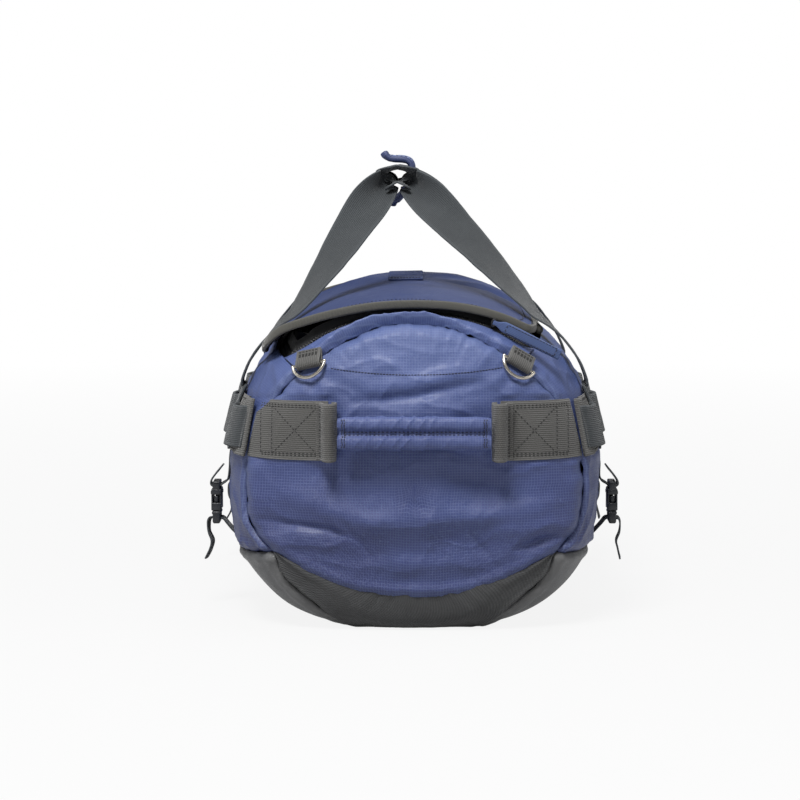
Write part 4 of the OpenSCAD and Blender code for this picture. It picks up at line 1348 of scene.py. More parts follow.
newPiece("lidNetPocket", clothGrid(60, 120, netAt, netRelief), "net", "mesh", "lid", "lid_mesh_pocket")
rimLine = resample(rimOf(netAt, 6, 12), 220)
tape = ribbon(rimLine, [up.cross(t) for t in tangents(rimLine)], *netSet["rim"], cols=5, square=4)
newPiece("netPocketTape", tape, "tape", "mesh", "lid")
print("lid sewn")

# zip: tapes, teeth, slider and pull; chain points with the direction that runs in across the tape
zipSet = {
    "tape": 0.0106, "thick": 0.0016, "teeth": 0.0025, "gap": 0.0018, "pitch": 0.0030, "endTilt": 43,
    "sideTilt": 54, "chainIn": 0.0042, "sliderX": 0.064, "count": 480,
}
chainTop = topZ(0, chainY, -zipSet["chainIn"])
chainDrop = chainTop - topZ(arcX, chainY, -zipSet["chainIn"])
arcRound = (arcX ** 2 + chainDrop ** 2) / (2 * chainDrop)
arcMiddle = chainTop - arcRound


def clothEdge(way, a):
    y = -gussetY(a)
    return vec(way * halfWide * planShare(y) * abs(cosd(a)) ** (2 / bag["topRound"]), y)


def zipLine(way):
    # points on the near half turned to run from the near end round a corner and along one side
    start, stop = (181 - turnAngle, zipAngle) if way < 0 else (turnAngle - 1, hingeAngle)
    edge = zipY - turnRound
    bend = [clothEdge(way, start + (stop - start) * t) for t in (0, 0.35, 0.6, 0.8, 0.92, 1)]
    if way < 0:
        ys = [edge * (i / 6 - 1) for i in range(1, 12)]
        return bend + [vec(-zipSeam * planShare(y), y) for y in ys] + mirrored(bend)
    return bend + [vec(hingeSeam * planShare(y), y) for y in steps(-edge + 0.012, -hingeHalf - 0.006, 3)]


def sideChain(way):
    edge = zipLine(way)
    made = []
    for p, t in zip(edge, tangents(edge)):
        d = vec(-t.y, t.x) * way
        tilt = zipSet["endTilt"] + (zipSet["sideTilt"] - zipSet["endTilt"]) * abs(d.x) + 20 * abs(d.x * d.y)
        q = p + d * (zipY - chainY)
        q.z = topZ(q.x, q.y, -zipSet["chainIn"] - 0.0007 * abs(d.x))
        made.append((q, vec(d.x * cosd(tilt), d.y * cosd(tilt), sind(tilt))))
    return made


def endChain(turn):
    out = vec(sind(turn), 0, cosd(turn))
    n = out * sind(zipSet["endTilt"]) + vec(0, 1) * cosd(zipSet["endTilt"])
    return vec(0, -chainY, arcMiddle) + out * arcRound, n


def farSide(points):
    return [tuple(vec(q.x, -q.y, q.z) for q in pair) for pair in points]


# from the near end of the hinge, across the near end, along the left side and back over the far end
arcTurn = math.degrees(math.asin(arcX / arcRound))
nearArc = [endChain(turn) for turn in steps(-arcTurn, arcTurn, 24)]
rightChain = sideChain(1)
chain = rightChain[:0:-1] + nearArc[::-1] + sideChain(-1)[1:-1] + farSide(nearArc) + farSide(rightChain[1:])
chainLine = resample([p for p, n in chain], zipSet["count"])
# directions are looked up by nearest place
chainWay = []
for q in chainLine:
    (a, na), (b, nb) = sorted(chain, key=lambda c: (c[0] - q).length_squared)[:2]
    chainWay.append((na / ((a - q).length + 1e-6) + nb / ((b - q).length + 1e-6)).normalized())


def tapeSway(p, x, far, face):
    return face * 0.0004 * rough(vec(far, x), 0.02, 81)


def teeth(name, body, middle, phase):
    count = int(farAlong(chainLine)[-1] / zipSet["pitch"])
    places = []
    for k in range(count):
        f = (k + phase) / count * zipSet["count"]
        i = min(zipSet["count"] - 1, int(f))
        along = (chainLine[i + 1] - chainLine[i]).normalized()
        p = chainLine[i].lerp(chainLine[i + 1], f - i) + chainWay[i] * middle
        places.append(placed(along, chainWay[i], along.cross(chainWay[i]).normalized(), p))
    bm = bmesh.new()
    block(bm, (0.0016, 0.0040, 0.0030), Matrix.Identity(4), 0.0005, 1)
    copies(name, bm, places, "teeth", body)


for body, middle in (("body", zipSet["teeth"] - zipSet["tape"] / 2 - 0.0008),
                     ("lid", zipSet["teeth"] + zipSet["gap"] + zipSet["tape"] / 2 + 0.0008)):
    line = [p + n * middle for p, n in zip(chainLine, chainWay)]
    tape = ribbon(line, chainWay, zipSet["tape"], zipSet["thick"], cols=9, square=6, sway=tapeSway)
    newPiece(body + "ZipTape", tape, "tape", "zip_tape", "lid" if body == "lid" else "bag", body + "_zip_half")
teeth("bodyZipTeeth", "bag", zipSet["teeth"] + 0.0001, 0.25)
teeth("lidZipTeeth", "lid", zipSet["teeth"] + zipSet["gap"] - 0.0001, 0.75)

# slider: rounded plates over the teeth with a bridge and an eye, and its pull of folded blue webbing
eyeAt = vec(0, -0.011, 0.0085)
pullTurn = math.degrees(math.asin(zipSet["sliderX"] / arcRound))
pullFrame = moved(0, 0, arcMiddle) @ turned(pullTurn, "Y") @ moved(0, -chainY, arcRound)
tilt = pullFrame @ turned(zipSet["endTilt"], "X")
bridge = [(0, -0.0012, 0.0026), (0, -0.0030, 0.0052), (0, -0.0070, 0.0056), (0, -0.0104, 0.0052)]
link = [vec(0.0019 * math.cos(k * math.tau / 20), 0, 0.0030 * math.sin(k * math.tau / 20)) for k in range(21)]
bm = bmesh.new()
for s in (-1, 1):
    block(bm, (0.0125, 0.0056, 0.0014), tilt @ moved(0, 0.0008, s * 0.00225), 0.0006)
    nose = tilt @ moved(0.0046, 0.0008, s * 0.00225) @ Matrix.Rotation(0.3, 4, "Z")
    block(bm, (0.0075, 0.0036, 0.0014), nose, 0.0005)
block(bm, (0.0066, 0.0014, 0.0052), tilt @ moved(0, 0.0033, 0), 0.0004)
tube(bm, [pullFrame @ Vector(q) for q in resample(bridge, 10)], 0.0010, 10)
tube(bm, [pullFrame @ (eyeAt + q) for q in link], 0.0007, 8)
newPiece("zipSlider", bm, "slider", "zip_metal", "slider", "zip_slider")
pullSet = {"length": 0.062, "width": 0.0092, "lean": 4, "steps": 70}
eye = pullFrame @ Matrix.Translation(eyeAt) @ turned(90, "X") @ turned(-pullSet["lean"], "Z")
xs = np.linspace(-0.0008, pullSet["length"], pullSet["steps"])
pullLine = [eye @ vec(x, 0.0004 * math.sin(x * 90)) for x in xs]
widths = [pullSet["width"] * (0.42 + 0.58 * ease((x - 3) / 9)) for x in range(pullSet["steps"])]
thicks = [0.0024 + 0.0026 * ease((x - 6) / 20) - 0.0012 * ease((x - 62) / 6) for x in range(pullSet["steps"])]
pull = ribbon(pullLine, eye.to_3x3() @ vec(0, 1), widths, thicks, cols=12, square=4, worn=0.8)
pull = newPiece("zipPull", pull, "blueWeb", "blue_webbing", "pull", "zip_pull")
pullTop = surfaceOf(pull)
way = eye.to_3x3() @ up
for s in (-1, 1):
    for face in (-1, 1):
        line = [eye @ vec(x, s * 0.0034) for x in (0.012, 0.035, 0.058)]
        sew("pull", pullTop, line, way * face, pitch=0.0028)
for x in (0.0115, 0.0575):
    for face in (-1, 1):
        line = [eye @ vec(x, y) for y in (-0.0034, 0.0034)]
        sew("pull", pullTop, line, way * face, pitch=stitching["fine"])

# hinge fold: the lid's cloth rolls over the seam
hingeZ = topZ(lid["hingeX"], 0)
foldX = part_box("hinge_fold")[0].x * 0.5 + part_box("hinge_fold")[1].x * 0.5
foldLine = [vec(foldX, y, hingeZ + 0.0002) for y in np.linspace(-hingeHalf - 0.004, hingeHalf + 0.004, 200)]


def foldSway(p, x, far, face):
    return vec(0.0004 * rough(vec(far, 3), 0.03, 92), 0, 0.0005 * rough(vec(far, 0), 0.02, 91))


foldSet = {"lean": -0.6, "width": 0.0084, "thick": 0.0076}
hinge = ribbon(foldLine, vec(1, 0, foldSet["lean"]).normalized(), foldSet["width"], foldSet["thick"], cols=8,
               square=2, sway=foldSway)
hinge = newPiece("hingeFold", hinge, "binding", "binding", None, "hinge_fold")
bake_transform(hinge)
print("zip and hinge made")

# webbing sewn over the panels
web = {
    "wide": 0.050, "thick": 0.0020, "out": 0.0014, "handle": 0.038, "handleY": 0.200, "strap": 0.020,
    "strapY": 0.150, "strapThick": 0.0015, "reach": 0.1365, "ply": 0.0019,
}
sideBands = {}


def sideBand(side, way):
    # the band follows the side from one end seam to the other, slightly wavy
    line, across = [], []
    a = angleAtZ(bandZ)
    end = seamY(a) - 0.0022
    for y in steps(-end, end, 240):
        p = skin(y, a, web["out"] + 0.0004)
        low, high = (skin(y, angleAtZ(bandZ + z), web["out"]) for z in (-0.02, 0.02))
        line.append(vec(way * p.x, p.y, bandZ))
        across.append(vec(way * (high.x - low.x), high.y - low.y, high.z - low.z).normalized())

    def sway(p, x, far, face):
        bow = (sideX(bandZ + x, p.y) + web["out"] + 0.0006) - abs(p.x) if abs(p.y) < 0.26 else 0
        wave = vec(way * bow * 0.9, 0, 0.0007 * rough(vec(far, 0), 0.09, 101 + way))
        return wave + face * 0.0004 * rough(vec(far, x), 0.03, 103)

    band = ribbon(line, across, web["wide"], web["thick"], cols=18, square=12, sway=sway, worn=0.6)
    return newPiece(side + "SideBand", band, "grey", "grey_webbing", "bag", side + "_side_webbing")


for side, way in sides.items():
    sideBands[way] = sideBand(side, way)
grabLow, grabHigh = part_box("near_grab_sleeve")
grabX, grabY = grabHigh.x, abs((grabLow.y + grabHigh.y) / 2)


def endBand(end, way):
    bm = bmesh.new()
    tip = grabX + 0.0075
    for side in (-1, 1):
        line, across = [], []
        for x in steps(tip, web["reach"], 80):
            line.append(vec(side * x, way * (endY(x, bandZ) + web["out"]), bandZ))
            across.append(vec(0, way * (endY(x, bandZ + 0.02) - endY(x, bandZ - 0.02)), 0.04).normalized())

        def sway(p, x, far, face):
            out = endY(abs(p.x), bandZ + x) + web["out"] - abs(p.y)
            free = ease((abs(p.x) - tip) / (web["reach"] - tip))
            cut = 0.0022 * rough(vec(0, 0, x), 0.05, 109 + side) * free
            return vec(side * cut, way * out * 0.97 + way * 0.0004 * rough(p, 0.03, 107 + side))

        addPart(bm, ribbon(line, across, web["wide"], web["thick"], cols=18, square=12, sway=sway, worn=0.8))
    return newPiece(end + "EndWebbing", bm, "grey", "grey_webbing", "bag", end + "_end_webbing")


def greySew(surface, line, way, pitch=stitching["pitch"]):
    sew("bag", surface, line, way, "greyThread", pitch)


for end, way in ends.items():
    top = surfaceOf(endBand(end, way))
    for side in (-1, 1):
        def at(x, z):
            return vec(side * x, way * (endY(min(x, 0.15), z) + 0.003), z)
        x0, x1 = grabX + 0.0165, 0.1300
        off = vec(side * 0.25, way).normalized()
        for rows in (0.0210, 0.0192):
            for z in (bandZ - rows, bandZ + rows):
                greySew(top, [at(x, z) for x in steps(x0, x1, 6)], off)
        xb = x0 + (x1 - x0) * 0.80
        for x in (x0, xb, x1):
            greySew(top, [at(x, bandZ + z) for z in (-0.020, 0, 0.020)], off)
        for z in (-0.020, 0.020):
            greySew(top, [at(*q) for q in zip(steps(x0, xb, 8), steps(bandZ + z, bandZ - z, 8))], off)
for side in (-1, 1):
    top = surfaceOf(sideBands[side])
    for z in (bandZ - 0.0215, bandZ + 0.0215):
        ys = np.linspace(-0.26, 0.26, 40)
        greySew(top, [vec(side * (sideX(z, y) + 0.003), y, z) for y in ys], vec(side, 0))

# lash loops bow out between their bar tacks
lash = {"wide": 0.036, "long": 0.062, "gap": 0.006, "tack": 0.016, "tackIn": 0.0035}
lashPitch = (2 * web["handleY"] - web["handle"] - 0.012) / 3
outerAt = web["handleY"] + web["handle"] / 2 + 0.006
outerLong = seamY(angleAtZ(bandZ)) - 0.006 - outerAt


def lashSway(p, x, far, face):
    return face * 0.0004 * rough(p, 0.02, 111)


def lashLoops(side, way):
    bm = bmesh.new()
    spans = [(k * lashPitch, lash["long"]) for k in (-1, 0, 1)]
    spans += [(s * (outerAt + outerLong / 2), outerLong) for s in (-1, 1)]
    for middle, long in spans:
        line, across = [], []
        for k in range(41):
            f = k / 40
            y = middle + (f - 0.5) * long
            bow = lash["gap"] * max(0, math.sin(math.pi * between((f - 0.09) / 0.82, 0, 1))) ** 0.6
            lean = (sideX(bandZ + 0.018, y) - sideX(bandZ - 0.018, y)) / 0.036
            out = web["out"] + web["thick"] / 2 + 0.0013 + bow
            slope = (sideX(bandZ, y + 0.01) - sideX(bandZ, y - 0.01)) / 0.02
            line.append(vec(way * (sideX(bandZ, y) + out * math.hypot(1, slope)), y, bandZ))
            across.append(vec(way * lean, 0, 1).normalized())
        addPart(bm, ribbon(line, across, lash["wide"], web["ply"], cols=14, square=12, worn=0.9, sway=lashSway))
    top = surfaceOf(newPiece(side + "LashLoops", bm, "charcoal", "grey_webbing", "bag", side + "_lash_loops"))
    for middle, long in spans:
        for y in (middle - long / 2 + lash["tackIn"], middle + long / 2 - lash["tackIn"]):
            for off in (-0.0008, 0.0008):
                line = [vec(way * 0.19, y + off, bandZ + z) for z in (-lash["tack"], lash["tack"])]
                sew("bag", top, line, vec(way, 0), pitch=stitching["fine"])


for side, way in sides.items():
    lashLoops(side, way)
print("webbing sewn")

# carry handles: flat where they are sewn down, folded lengthwise towards the grip
hold = {
    "rise": 0.100, "shift": 0.015, "half": 0.085, "thick": 0.007, "shoulder": 54, "fold": 2.75, "count": 300,
}
rootZ = bandZ + web["wide"] / 2 + 0.003
rootX = sideX(rootZ, web["handleY"]) + 0.0024 + web["thick"] / 2 + 0.001
gripZ = bag["height"] + hold["rise"]


def handleHalf(way):
    a0 = angleAtZ(rootZ + 0.006)
    gripX = -hold["shift"] + way * (hold["thick"] / 2 + 0.0004)
    rise = []
    for i in range(6):
        f = i / 5
        p = skin(-web["handleY"], a0 + (hold["shoulder"] - a0) * f, 0.0076 + 0.005 * math.sqrt(f))
        rise.append(vec(way * p.x, -web["handleY"] + 0.012 * f * f, p.z))
    b, g = rise[5], vec(gripX, -hold["half"], gripZ)
    k1 = b + vec(-way * 0.028, 0.010, 0.030)
    k2 = vec(gripX + way * 0.020, -hold["half"] - 0.036, gripZ - 0.014)
    bend = []
    for i in range(1, 10):
        f, h = i / 9, 1 - i / 9
        bend.append(b * h ** 3 + k1 * (3 * h * h * f) + k2 * (3 * h * f * f) + g * f ** 3)
    return [vec(way * (rootX + 0.0002), -web["handleY"], rootZ + 0.0026)] + rise + bend


def handle(side, way):
    half = handleHalf(way)
    n = len(half)
    ways, folds = [], []
    for i in range(n):
        turn = 75 * between((i - 4) / (n - 7), 0, 1) ** 1.3
        slim = between((i - n + 5) / 4, 0, 1)
        ways.append(vec(way * sind(turn) * 0.8 * (1 - slim), cosd(turn), sind(turn) * (0.6 + 0.4 * slim)))
        folds.append(slim)
    whole = half + mirrored(half)
    ways += mirrored(ways)
    folds += folds[::-1]
    line = resample(whole, hold["count"])
    total = farAlong(line)[-1]
    across, fold = [], []
    for k, t in evenSteps(whole, hold["count"]):
        w = ways[k].lerp(ways[k + 1], t)
        if w.dot(ways[k]) < 0:
            w = ways[k].lerp(-ways[k + 1], t)
        across.append(w.normalized())
        fold.append(-way * hold["fold"] * ease(folds[k] * (1 - t) + folds[k + 1] * t))

    def sway(p, x, far, face):
        slack = 0.0016 * rough(vec(far, 0, way), 0.07, 121) * ease(min(far, total - far) / 0.06)
        return face * (slack + 0.0005 * rough(vec(far, x), 0.018, 122))

    bm = ribbon(line, across, web["handle"], web["ply"], cols=18, square=10, fold=fold, sway=sway, worn=0.9)
    node = side + "_handle"
    piece = newPiece(side + "Handle", bm, "charcoal", "grey_webbing", None, node, node + "_legs")
    side + "_carry"
    way * 0.1500
    way * 0.1260
    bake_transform(piece)


def boxStitch(surface, corners, way):
    a, b, c, d = corners
    for line in ([a, b], [b, c], [c, d], [d, a], [a, c], [b, d]):
        greySew(surface, line, way)


# the roots: the same webbing sewn down over the band, with a box and a cross
def handleRoot(side, way):
    bm = bmesh.new()
    for s in (-1, 1):
        y = s * web["handleY"]
        line = []
        for z in steps(bandZ - web["wide"] / 2 + 0.001, rootZ + 0.004, 30):
            out = sideX(z, web["handleY"]) + web["out"] + 0.0021 + 0.0006 * ease((z - bandZ) / 0.03)
            line.append(vec(way * out, y, z))
        slope = (sideX(z, y + 0.01) - sideX(z, y - 0.01)) / 0.02
        across = vec(way * slope, 1).normalized()
        addPart(bm, ribbon(line, across, web["handle"] + 0.0004, web["thick"], cols=16, square=12, worn=0.9))
    piece = newPiece(side + "HandleRoots", bm, "charcoal", "grey_webbing", "bag", side + "_handle_roots")
    top = surfaceOf(piece)
    for s in (-1, 1):
        y0, y1 = s * (web["handleY"] - 0.0145), s * (web["handleY"] + 0.0145)
        z0, z1 = bandZ - 0.0185, bandZ + 0.0195
        boxStitch(top, [vec(way * 0.2, y, z) for y, z in ((y0, z0), (y1, z0), (y1, z1), (y0, z1))], vec(way, 0))


for build in (handle, handleRoot):
    for side, way in sides.items():
        build(side, way)
print("handles made")

# the wrap round both grips: padded cloth, open towards the left, with a bound rim; its path in mm
wrapSet = {"long": 0.110, "wide": 0.075, "thick": 0.0034, "rim": (0.0070, 0.0052)}
wrapMiddle = vec(-hold["shift"], 0, gripZ)
wrapPath = [
    (-12.4, 18.6), (-9.4, 15.4), (-4.0, 14.3), (4, 14.1), (9.8, 12.4), (12.4, 8.0), (11.0, 1), (9.2, -4),
    (8.2, -11.5), (5.0, -16), (0.4, -21.5), (-4.5, -26.0),
]
wrapPath = resample([wrapMiddle + vec(x / 1000, 0, z / 1000) for x, z in wrapPath], 60)


def wrapAt(s, t):
    i = min(59, int(s * 60))
    p = wrapPath[i].lerp(wrapPath[i + 1], s * 60 - i)
    y = (t * 2 - 1) * wrapSet["long"] / 2
    edge = min(s, 1 - s, t * 1.4, (1 - t) * 1.4)
    spot = vec(p.x, y * (1 - 0.03 * math.sin(math.pi * s)), p.z)
    return spot, s * wrapSet["wide"], y, ease(1 - edge / 0.08) * 0.8


def wrapRelief(p, u, s, t):
    rim = min(min(s, 1 - s) * wrapSet["wide"], min(t, 1 - t) * wrapSet["long"])
    folds = creases(vec(p.x * 0.5, p.y, p.z * 0.5), 0.016, 131) * 0.0012
    return 0.0024 * ease(rim / 0.006) + folds + rough(p, 0.02, 132) * 0.0007


def wrapOut(p):
    return vec(p.x - wrapMiddle.x, 0, p.z - wrapMiddle.z).normalized()


wrap = newPiece("gripWrap", clothGrid(70, 90, wrapAt, wrapRelief, middle=wrapMiddle), "ripstop", "blue_webbing",
                "right_carry", "grip_wrap", thick=wrapSet["thick"], lined="navy")
rim = resample(rimOf(wrapAt, 10, 20), 240)
rimAcross = [t.cross(wrapOut(p)).normalized() for p, t in zip(rim, tangents(rim))]
tape = ribbon(rim, rimAcross, *wrapSet["rim"], cols=6, square=3, worn=0.5)
newPiece("gripWrapTape", tape, "navy", "blue_webbing", "right_carry")
wrapTop = surfaceOf(wrap)
for t in (0.075, 0.925):
    sew("right_carry", wrapTop, [wrapAt(s, t)[0] for s in np.linspace(0.06, 0.94, 30)], wrapOut)
print("grip wrap made")

# grab handles: two stuffed tubes side by side, swollen with a cloth simulation and tied at the middle
grab = {
    "apart": 0.0068, "tube": 0.0054, "high": 0.0490, "fold": 0.0004, "foldMore": 0.0006, "middle": -0.008,
    "voxel": 0.0022, "cap": 0.0022, "pressure": 4.0, "frames": 20,
}


def inflate(bm):
    mesh = bpy.data.meshes.new("soft")
    bm.to_mesh(mesh)
    bm.free()
    soft = bpy.data.objects.new("soft", mesh)
    scene.collection.objects.link(soft)
    cells = soft.modifiers.new("cells", "REMESH")
    cells.mode = "VOXEL"
    cells.voxel_size = grab["voxel"]
    rest = bpy.data.meshes.new_from_object(soft.evaluated_get(bpy.context.evaluated_depsgraph_get()))
    soft.modifiers.clear()
    soft.data = rest
    start = [v.co.copy() for v in rest.vertices]
    swollen = start
    cloth = soft.modifiers.new("cloth", "CLOTH")
    cloth.settings.use_pressure = True
    cloth.settings.uniform_pressure_force = grab["pressure"]
    cloth.settings.effector_weights.gravity = 0
    cloth.point_cache.frame_start = 1
    cloth.point_cache.frame_end = grab["frames"]
    for f in range(1, grab["frames"] + 1):
        scene.frame_set(f)
    made = soft.evaluated_get(bpy.context.evaluated_depsgraph_get()).to_mesh()
    swollen = [v.co.copy() for v in made.vertices]
    soft.modifiers.clear()
    scene.frame_set(1)
    made = bmesh.new()
    made.from_mesh(rest)
    for v, a, b in zip(made.verts, start, swollen):
        v.co = a + (b - a) * min(1, grab["cap"] / max((b - a).length, 1e-9))
    bpy.data.objects.remove(soft)
    bmesh.ops.smooth_vert(made, verts=made.verts, factor=0.5, use_axis_x=True, use_axis_y=True, use_axis_z=True)
    bmesh.ops.subdivide_edges(made, edges=made.edges, cuts=1, use_grid_fill=True, smooth=1.0)
    return made


bm = bmesh.new()
for s in (-1, 1):
    xs = np.linspace(-grabX + 0.001, grabX - 0.001, 30)
    tube(bm, [vec(x, 0, s * grab["apart"]) for x in xs], grab["tube"], 14)
puffed = inflate(bm)
for v in puffed.verts:
    x, y, z = v.co
    end = ease((grabX - abs(x)) / 0.012)
    v.co.y = y * (0.72 + 0.28 * end) * (1 - 0.25 * bell(z, 0.0016)) + rough(vec(x, y, z), 0.016, 141) * 0.0006
    deep = grab["fold"] + grab["foldMore"] * bell(x - grab["middle"], 0.028)
    pinch = creases(vec(x - z * 0.9, y * 0.3, z * 0.3), 0.012, 142) * deep
    out = vec(0, y, z - math.copysign(grab["apart"], z))
    if out.length > 1e-6:
        v.co += out.normalized() * (pinch - 0.0003)
    v.co.z = v.co.z * (1.10 + 0.08 * end) + rough(vec(x, 0), 0.05, 143) * 0.0006
grabForm = bpy.data.meshes.new("grabForm")
puffed.to_mesh(grabForm)
puffed.free()


def grabSleeve(end, way):
    bm = bmesh.new()
    bm.from_mesh(grabForm)
    cloth = bm.loops.layers.uv.new("cloth")
    wear = bm.verts.layers.float.new("edge")
    for f in bm.faces:
        for loop in f.loops:
            x, y, z = loop.vert.co
            turn = math.atan2(z - math.copysign(grab["apart"], z), -y)
            loop[cloth].uv = (turn * 0.0070 + math.copysign(0.02, z), x)
    for v in bm.verts:
        v[wear] = ease(1 - (grabX - abs(v.co.x)) / 0.004)
        v.co = vec(v.co.x, way * grabY + (v.co.y if way < 0 else -v.co.y), bandZ + v.co.z)
    bmesh.ops.recalc_face_normals(bm, faces=bm.faces)
    piece = newPiece(end + "GrabSleeve", bm, "ripstop", "blue_webbing", "bag", end + "_grab_sleeve")
    top = surfaceOf(piece)
    for z in (-0.0012, 0.0012):
        line = [vec(x, way * grabY, bandZ + z) for x in np.linspace(-grabX + 0.006, grabX - 0.006, 30)]
        sew("bag", top, line, vec(0, way))
    for side in (-1, 1):
        for x in (0.0045, 0.0065):
            zig = [(side * (grabX - x - 0.0012 * (k % 2)), bandZ - 0.012 + 0.024 * k / 16) for k in range(17)]
            sew("bag", top, [vec(px, way * grabY, z) for px, z in zig], vec(0, way), pitch=0.0024)


def loopSway(p, x, far, face):
    return face * 0.0005 * rough(p, 0.02, 147)


def grabLoops(end, way):
    bm = bmesh.new()
    x, y0 = grabX, endY(grabX + 0.008, bandZ, 0.0024)
    deep = grabY - 0.0012 - y0
    # out along the panel, round the end of the sleeve and back under itself
    bend = [(x + 0.0062 - 0.0056 * cosd(k), y0 + 0.0018 + deep * sind(k) ** 0.8) for k in range(165, 0, -15)]
    points = [(x + 0.0170, endY(x + 0.0170, bandZ) + 0.0042), (x + 0.0135, y0 + 0.0016)]
    points += [(2 * (x + 0.0062) - px, py) for px, py in bend][::-1]
    points += [(x + 0.0008, y0 + 0.0030), (x + 0.0040, y0 + 0.0018)]
    for side in (-1, 1):
        line = resample([vec(side * px, way * py, bandZ) for px, py in points], 80)
        addPart(bm, ribbon(line, up, grab["high"], web["ply"], cols=22, square=10, worn=0.9, sway=loopSway))
    top = surfaceOf(newPiece(end + "GrabLoops", bm, "grey", "grey_webbing", "bag", end + "_grab_loops"))
    for side in (-1, 1):
        for x in (0.0142, 0.0158):
            line = [vec(side * (grabX + x), way * (grabY - 0.01), bandZ + z) for z in (-0.022, 0, 0.022)]
            greySew(top, line, vec(side * 0.2, way).normalized(), stitching["fine"])


for end, way in ends.items():
    grabSleeve(end, way)
    grabLoops(end, way)
print("grab handles made")

# rings keep their packed form; each hangs in a folded tab sewn to the end panel, drawn as steps out
# of the panel and up from the bar
tabSet = {"width": 0.0224, "thick": 0.0018, "sewn": (0.0068, 0.0080, 0.0092, 0.0118), "sewWide": 0.009}
tabFold = [
    (-0.0019, 0.0135), (-0.0024, 0.0090), (-0.0028, 0.0040), (-0.0029, 0), (-0.0020, -0.0021), (0, -0.0029),
    (0.0020, -0.0021), (0.0029, 0), (0.0022, 0.0040), (0.0010, 0.0080), (0.0003, 0.0135),
]
mounts = {m["name"]: m for m in frame["record"]["mounts"]}
joints = {j["name"]: j for j in frame["record"]["behaviour"]["joints"]}
tabs = bmesh.new()
tabStitch = []
for end in ends:
    for side in ("left", "right"):
        key = end + "_" + side
        frame["nodes"][key + "_ring"].material_slots[0].material = finishes["nickel"]
        bar = Vector(joints[key + "_d_swing"]["pos_m"])
        across = Vector(joints[key + "_d_swing"]["axis"]).normalized()
        out = Vector(mounts[key + "_ring"]["axis"]).normalized()
        rise = across.cross(out).normalized()
        if rise.z < 0:
            rise = -rise
        line = resample([bar + out * a + rise * b for a, b in tabFold], 70)
        addPart(tabs, ribbon(line, across, tabSet["width"], tabSet["thick"], cols=12, square=10, worn=0.9))
        tabStitch += [(bar + rise * b, across * tabSet["sewWide"], out) for b in tabSet["sewn"]]
tabTop = surfaceOf(newPiece("ringTabs", tabs, "grey", "grey_webbing", "bag", "ring_tabs"))
for p, across, out in tabStitch:
    greySew(tabTop, [p - across, p + across], out, stitching["fine"])

# side-release buckles, drawn upright about the foot of the socket
clip = {"thick": 0.009, "wide": 0.026, "slot": 0.0036, "plug": 0.011}
clipLow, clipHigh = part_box("near_right_socket")
clipX, clipZ = (clipLow.x + clipHigh.x) / 2, clipLow.z


def socketForm(bm, place):
    t, w = clip["thick"], clip["wide"]
    # size, place and bevel of each block; the first lists are made on both sides
    faces = [((0.0016, w - 0.0016, 0.0165), t / 2 - 0.0008, 0.0092, 0.0007),
             ((0.0010, w - 0.007, 0.0030), t / 2 + 0.0001, 0.0160, 0.0004)]
    faces += [((0.0007, 0.009, 0.0009), t / 2 + 0.0001, z, 0.0003) for z in (0.0125, 0.0105, 0.0085)]
    rails = [((t, 0.0022, 0.0070), w / 2 - 0.0011, 0.0037, 0.0008),
             ((t, 0.0022, 0.0050), w / 2 - 0.0011, 0.0168, 0.0008),
             ((0.0066, 0.0026, 0.0080), w / 2 - 0.0013, 0.0222, 0.0009)]
    for s in (-1, 1):
        for size, x, z, bevel in faces:
            block(bm, size, place @ moved(s * x, 0, z), bevel)
    for s in (-1, 1):
        for size, y, z, bevel in rails:
            block(bm, size, place @ moved(0, s * y, z), bevel)
    block(bm, (t, w - 0.0006, 0.0022), place @ moved(0, 0, 0.0184), 0.0009)
    block(bm, (0.0068, w, 0.0032), place @ moved(0, 0, 0.0244), 0.0013)


def plugForm(bm, place):
    t, w = clip["thick"] - 0.001, clip["wide"]
    block(bm, (t, w, 0.0030), place @ moved(0, 0, -0.0019), 0.0010)
    block(bm, (t * 0.8, w, 0.0030), place @ moved(0, 0, -0.0099), 0.0013)
    for s in (-1, 1):
        block(bm, (t * 0.85, 0.0026, 0.0092), place @ moved(0, s * (w / 2 - 0.0013), -0.0060), 0.0009)
        lean = Matrix.Rotation(s * -0.10, 4, "X")
        block(bm, (0.0042, 0.0026, 0.0100), place @ moved(0, s * 0.0086, 0.0046) @ lean, 0.0007)
        block(bm, (0.0040, 0.0034, 0.0056), place @ moved(0, s * 0.0104, 0.0106), 0.0011)
    block(bm, (0.0040, 0.0026, 0.0120), place @ moved(0, 0, 0.0054), 0.0008)


def strapPart(points, way, y, count, across, sway, worn=0.9):
    line = resample([vec(way * x, y, z) for x, z in points], count)
    return ribbon(line, across, web["strap"], web["strapThick"], cols=10, square=10, worn=worn, sway=sway)


def strapSway(seed):
    return lambda p, x, far, face: face * 0.0005 * rough(p, 0.015, seed)


def tailSway(p, x, far, face):
    return face * (0.0006 * rough(p, 0.018, 153) + x * 0.06)


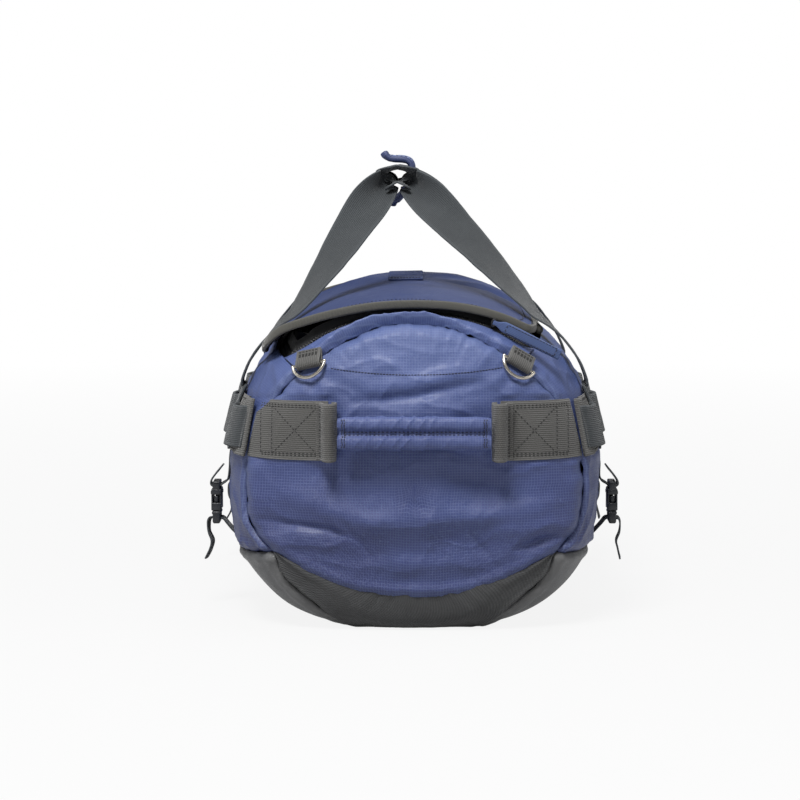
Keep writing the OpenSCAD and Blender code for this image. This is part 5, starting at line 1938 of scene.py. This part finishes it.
# strap paths as (x, z), x running out from the bag: the front and back of the buckle, the foot of the
# socket's slot and the plug's slot
front, back = clipX + clip["thick"] / 2, clipX - clip["thick"] / 2
z0, top = bandZ - web["wide"] / 2 - 0.0004, bandZ - web["wide"] / 2 - 0.034
z1 = top - 0.003 - clip["slot"] / 2
z2 = clipZ - 0.0004 - clip["plug"] + 0.003 + clip["slot"] / 2
upperPath = [
    (sideX(z0, web["strapY"]) + 0.0014, z0 + 0.002), (sideX(z0 - 0.014, web["strapY"]) + 0.0026, z0 - 0.014),
    (back - 0.0062, top + 0.003), (back - 0.0006, z1 + 0.0024), (clipX - 0.0010, z1 - 0.0002),
    (front - 0.0002, z1 + 0.0012), (front + 0.0004, z1 + 0.0048), (clipX + 0.0012, z1 + 0.0105),
    (back - 0.0010, z1 + 0.0190),
]
lowPath = [(sideX(z, web["strapY"], 0.0014), z) for z in (0.034, 0.046, 0.058)]
risePath = [
    (back - 0.0050, z2 - 0.0050), (back - 0.0016, z2 - 0.0010), (back + 0.0016, z2), (front - 0.0006, z2),
]
for side, way in (("left", -1), ("right", 1)):
    upper = bmesh.new()
    for end, sign in ends.items():
        key, y = end + "_" + side, sign * web["strapY"]
        for form, name, body in ((socketForm, "socket", "bag"), (plugForm, "plug", key + "_clip")):
            bm = bmesh.new()
            form(bm, moved(way * clipX, y, clipZ))
            newPiece(key + name.capitalize(), bm, "buckle", "buckle", body, key + "_" + name)
        # upper strap: out from under the band, through the slot and back up behind itself
        addPart(upper, strapPart(upperPath, way, y, 90, vec(0, 1), strapSway(151)))
        # lower strap from the base seam up to the plug, and its free tail
        lower = strapPart(lowPath + risePath, way, y, 70, vec(0, 1), strapSway(152))
        lower = newPiece(key + "Strap", lower, "charcoal", "strap", None, key + "_strap")
        (lowX, lowZ), (riseX, riseZ) = lowPath[2], risePath[0]
        key + "_clip"
        way * lowX
        lowZ - 0.002
        way * riseX
        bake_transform(lower)
        bend = 1 if way < 0 else 0.6
        tail = [
            (front - 0.0008, z2 - 0.0004), (front + 0.0016, z2 - 0.0010), (front + 0.0030, z2 - 0.0050),
            (front + 0.0024, z2 - 0.0130), (front - 0.0004 * bend, z2 - 0.0210), (front + 0.0012, z2 - 0.0290),
            (front + 0.0052 * bend, z2 - 0.0370),
        ]
        tail = strapPart(tail, way, y, 70, vec(0, 1, 0.05 * sign).normalized(), tailSway, 1.0)
        newPiece(key + "Tail", tail, "charcoal", "strap", key + "_clip")
    newPiece(side + "UpperStraps", upper, "charcoal", "strap", "bag", side + "_upper_straps")
print("buckles and straps made")

# every stitch of a body and colour is one piece
for (body, finish), places in stitchPlaces.items():
    bm = bmesh.new()
    bmesh.ops.create_uvsphere(bm, u_segments=6, v_segments=4, radius=1)
    copies("stitches_" + body + "_" + finish, bm, places, finish, body)
print("stitches:", sum(len(p) for p in stitchPlaces.values()))
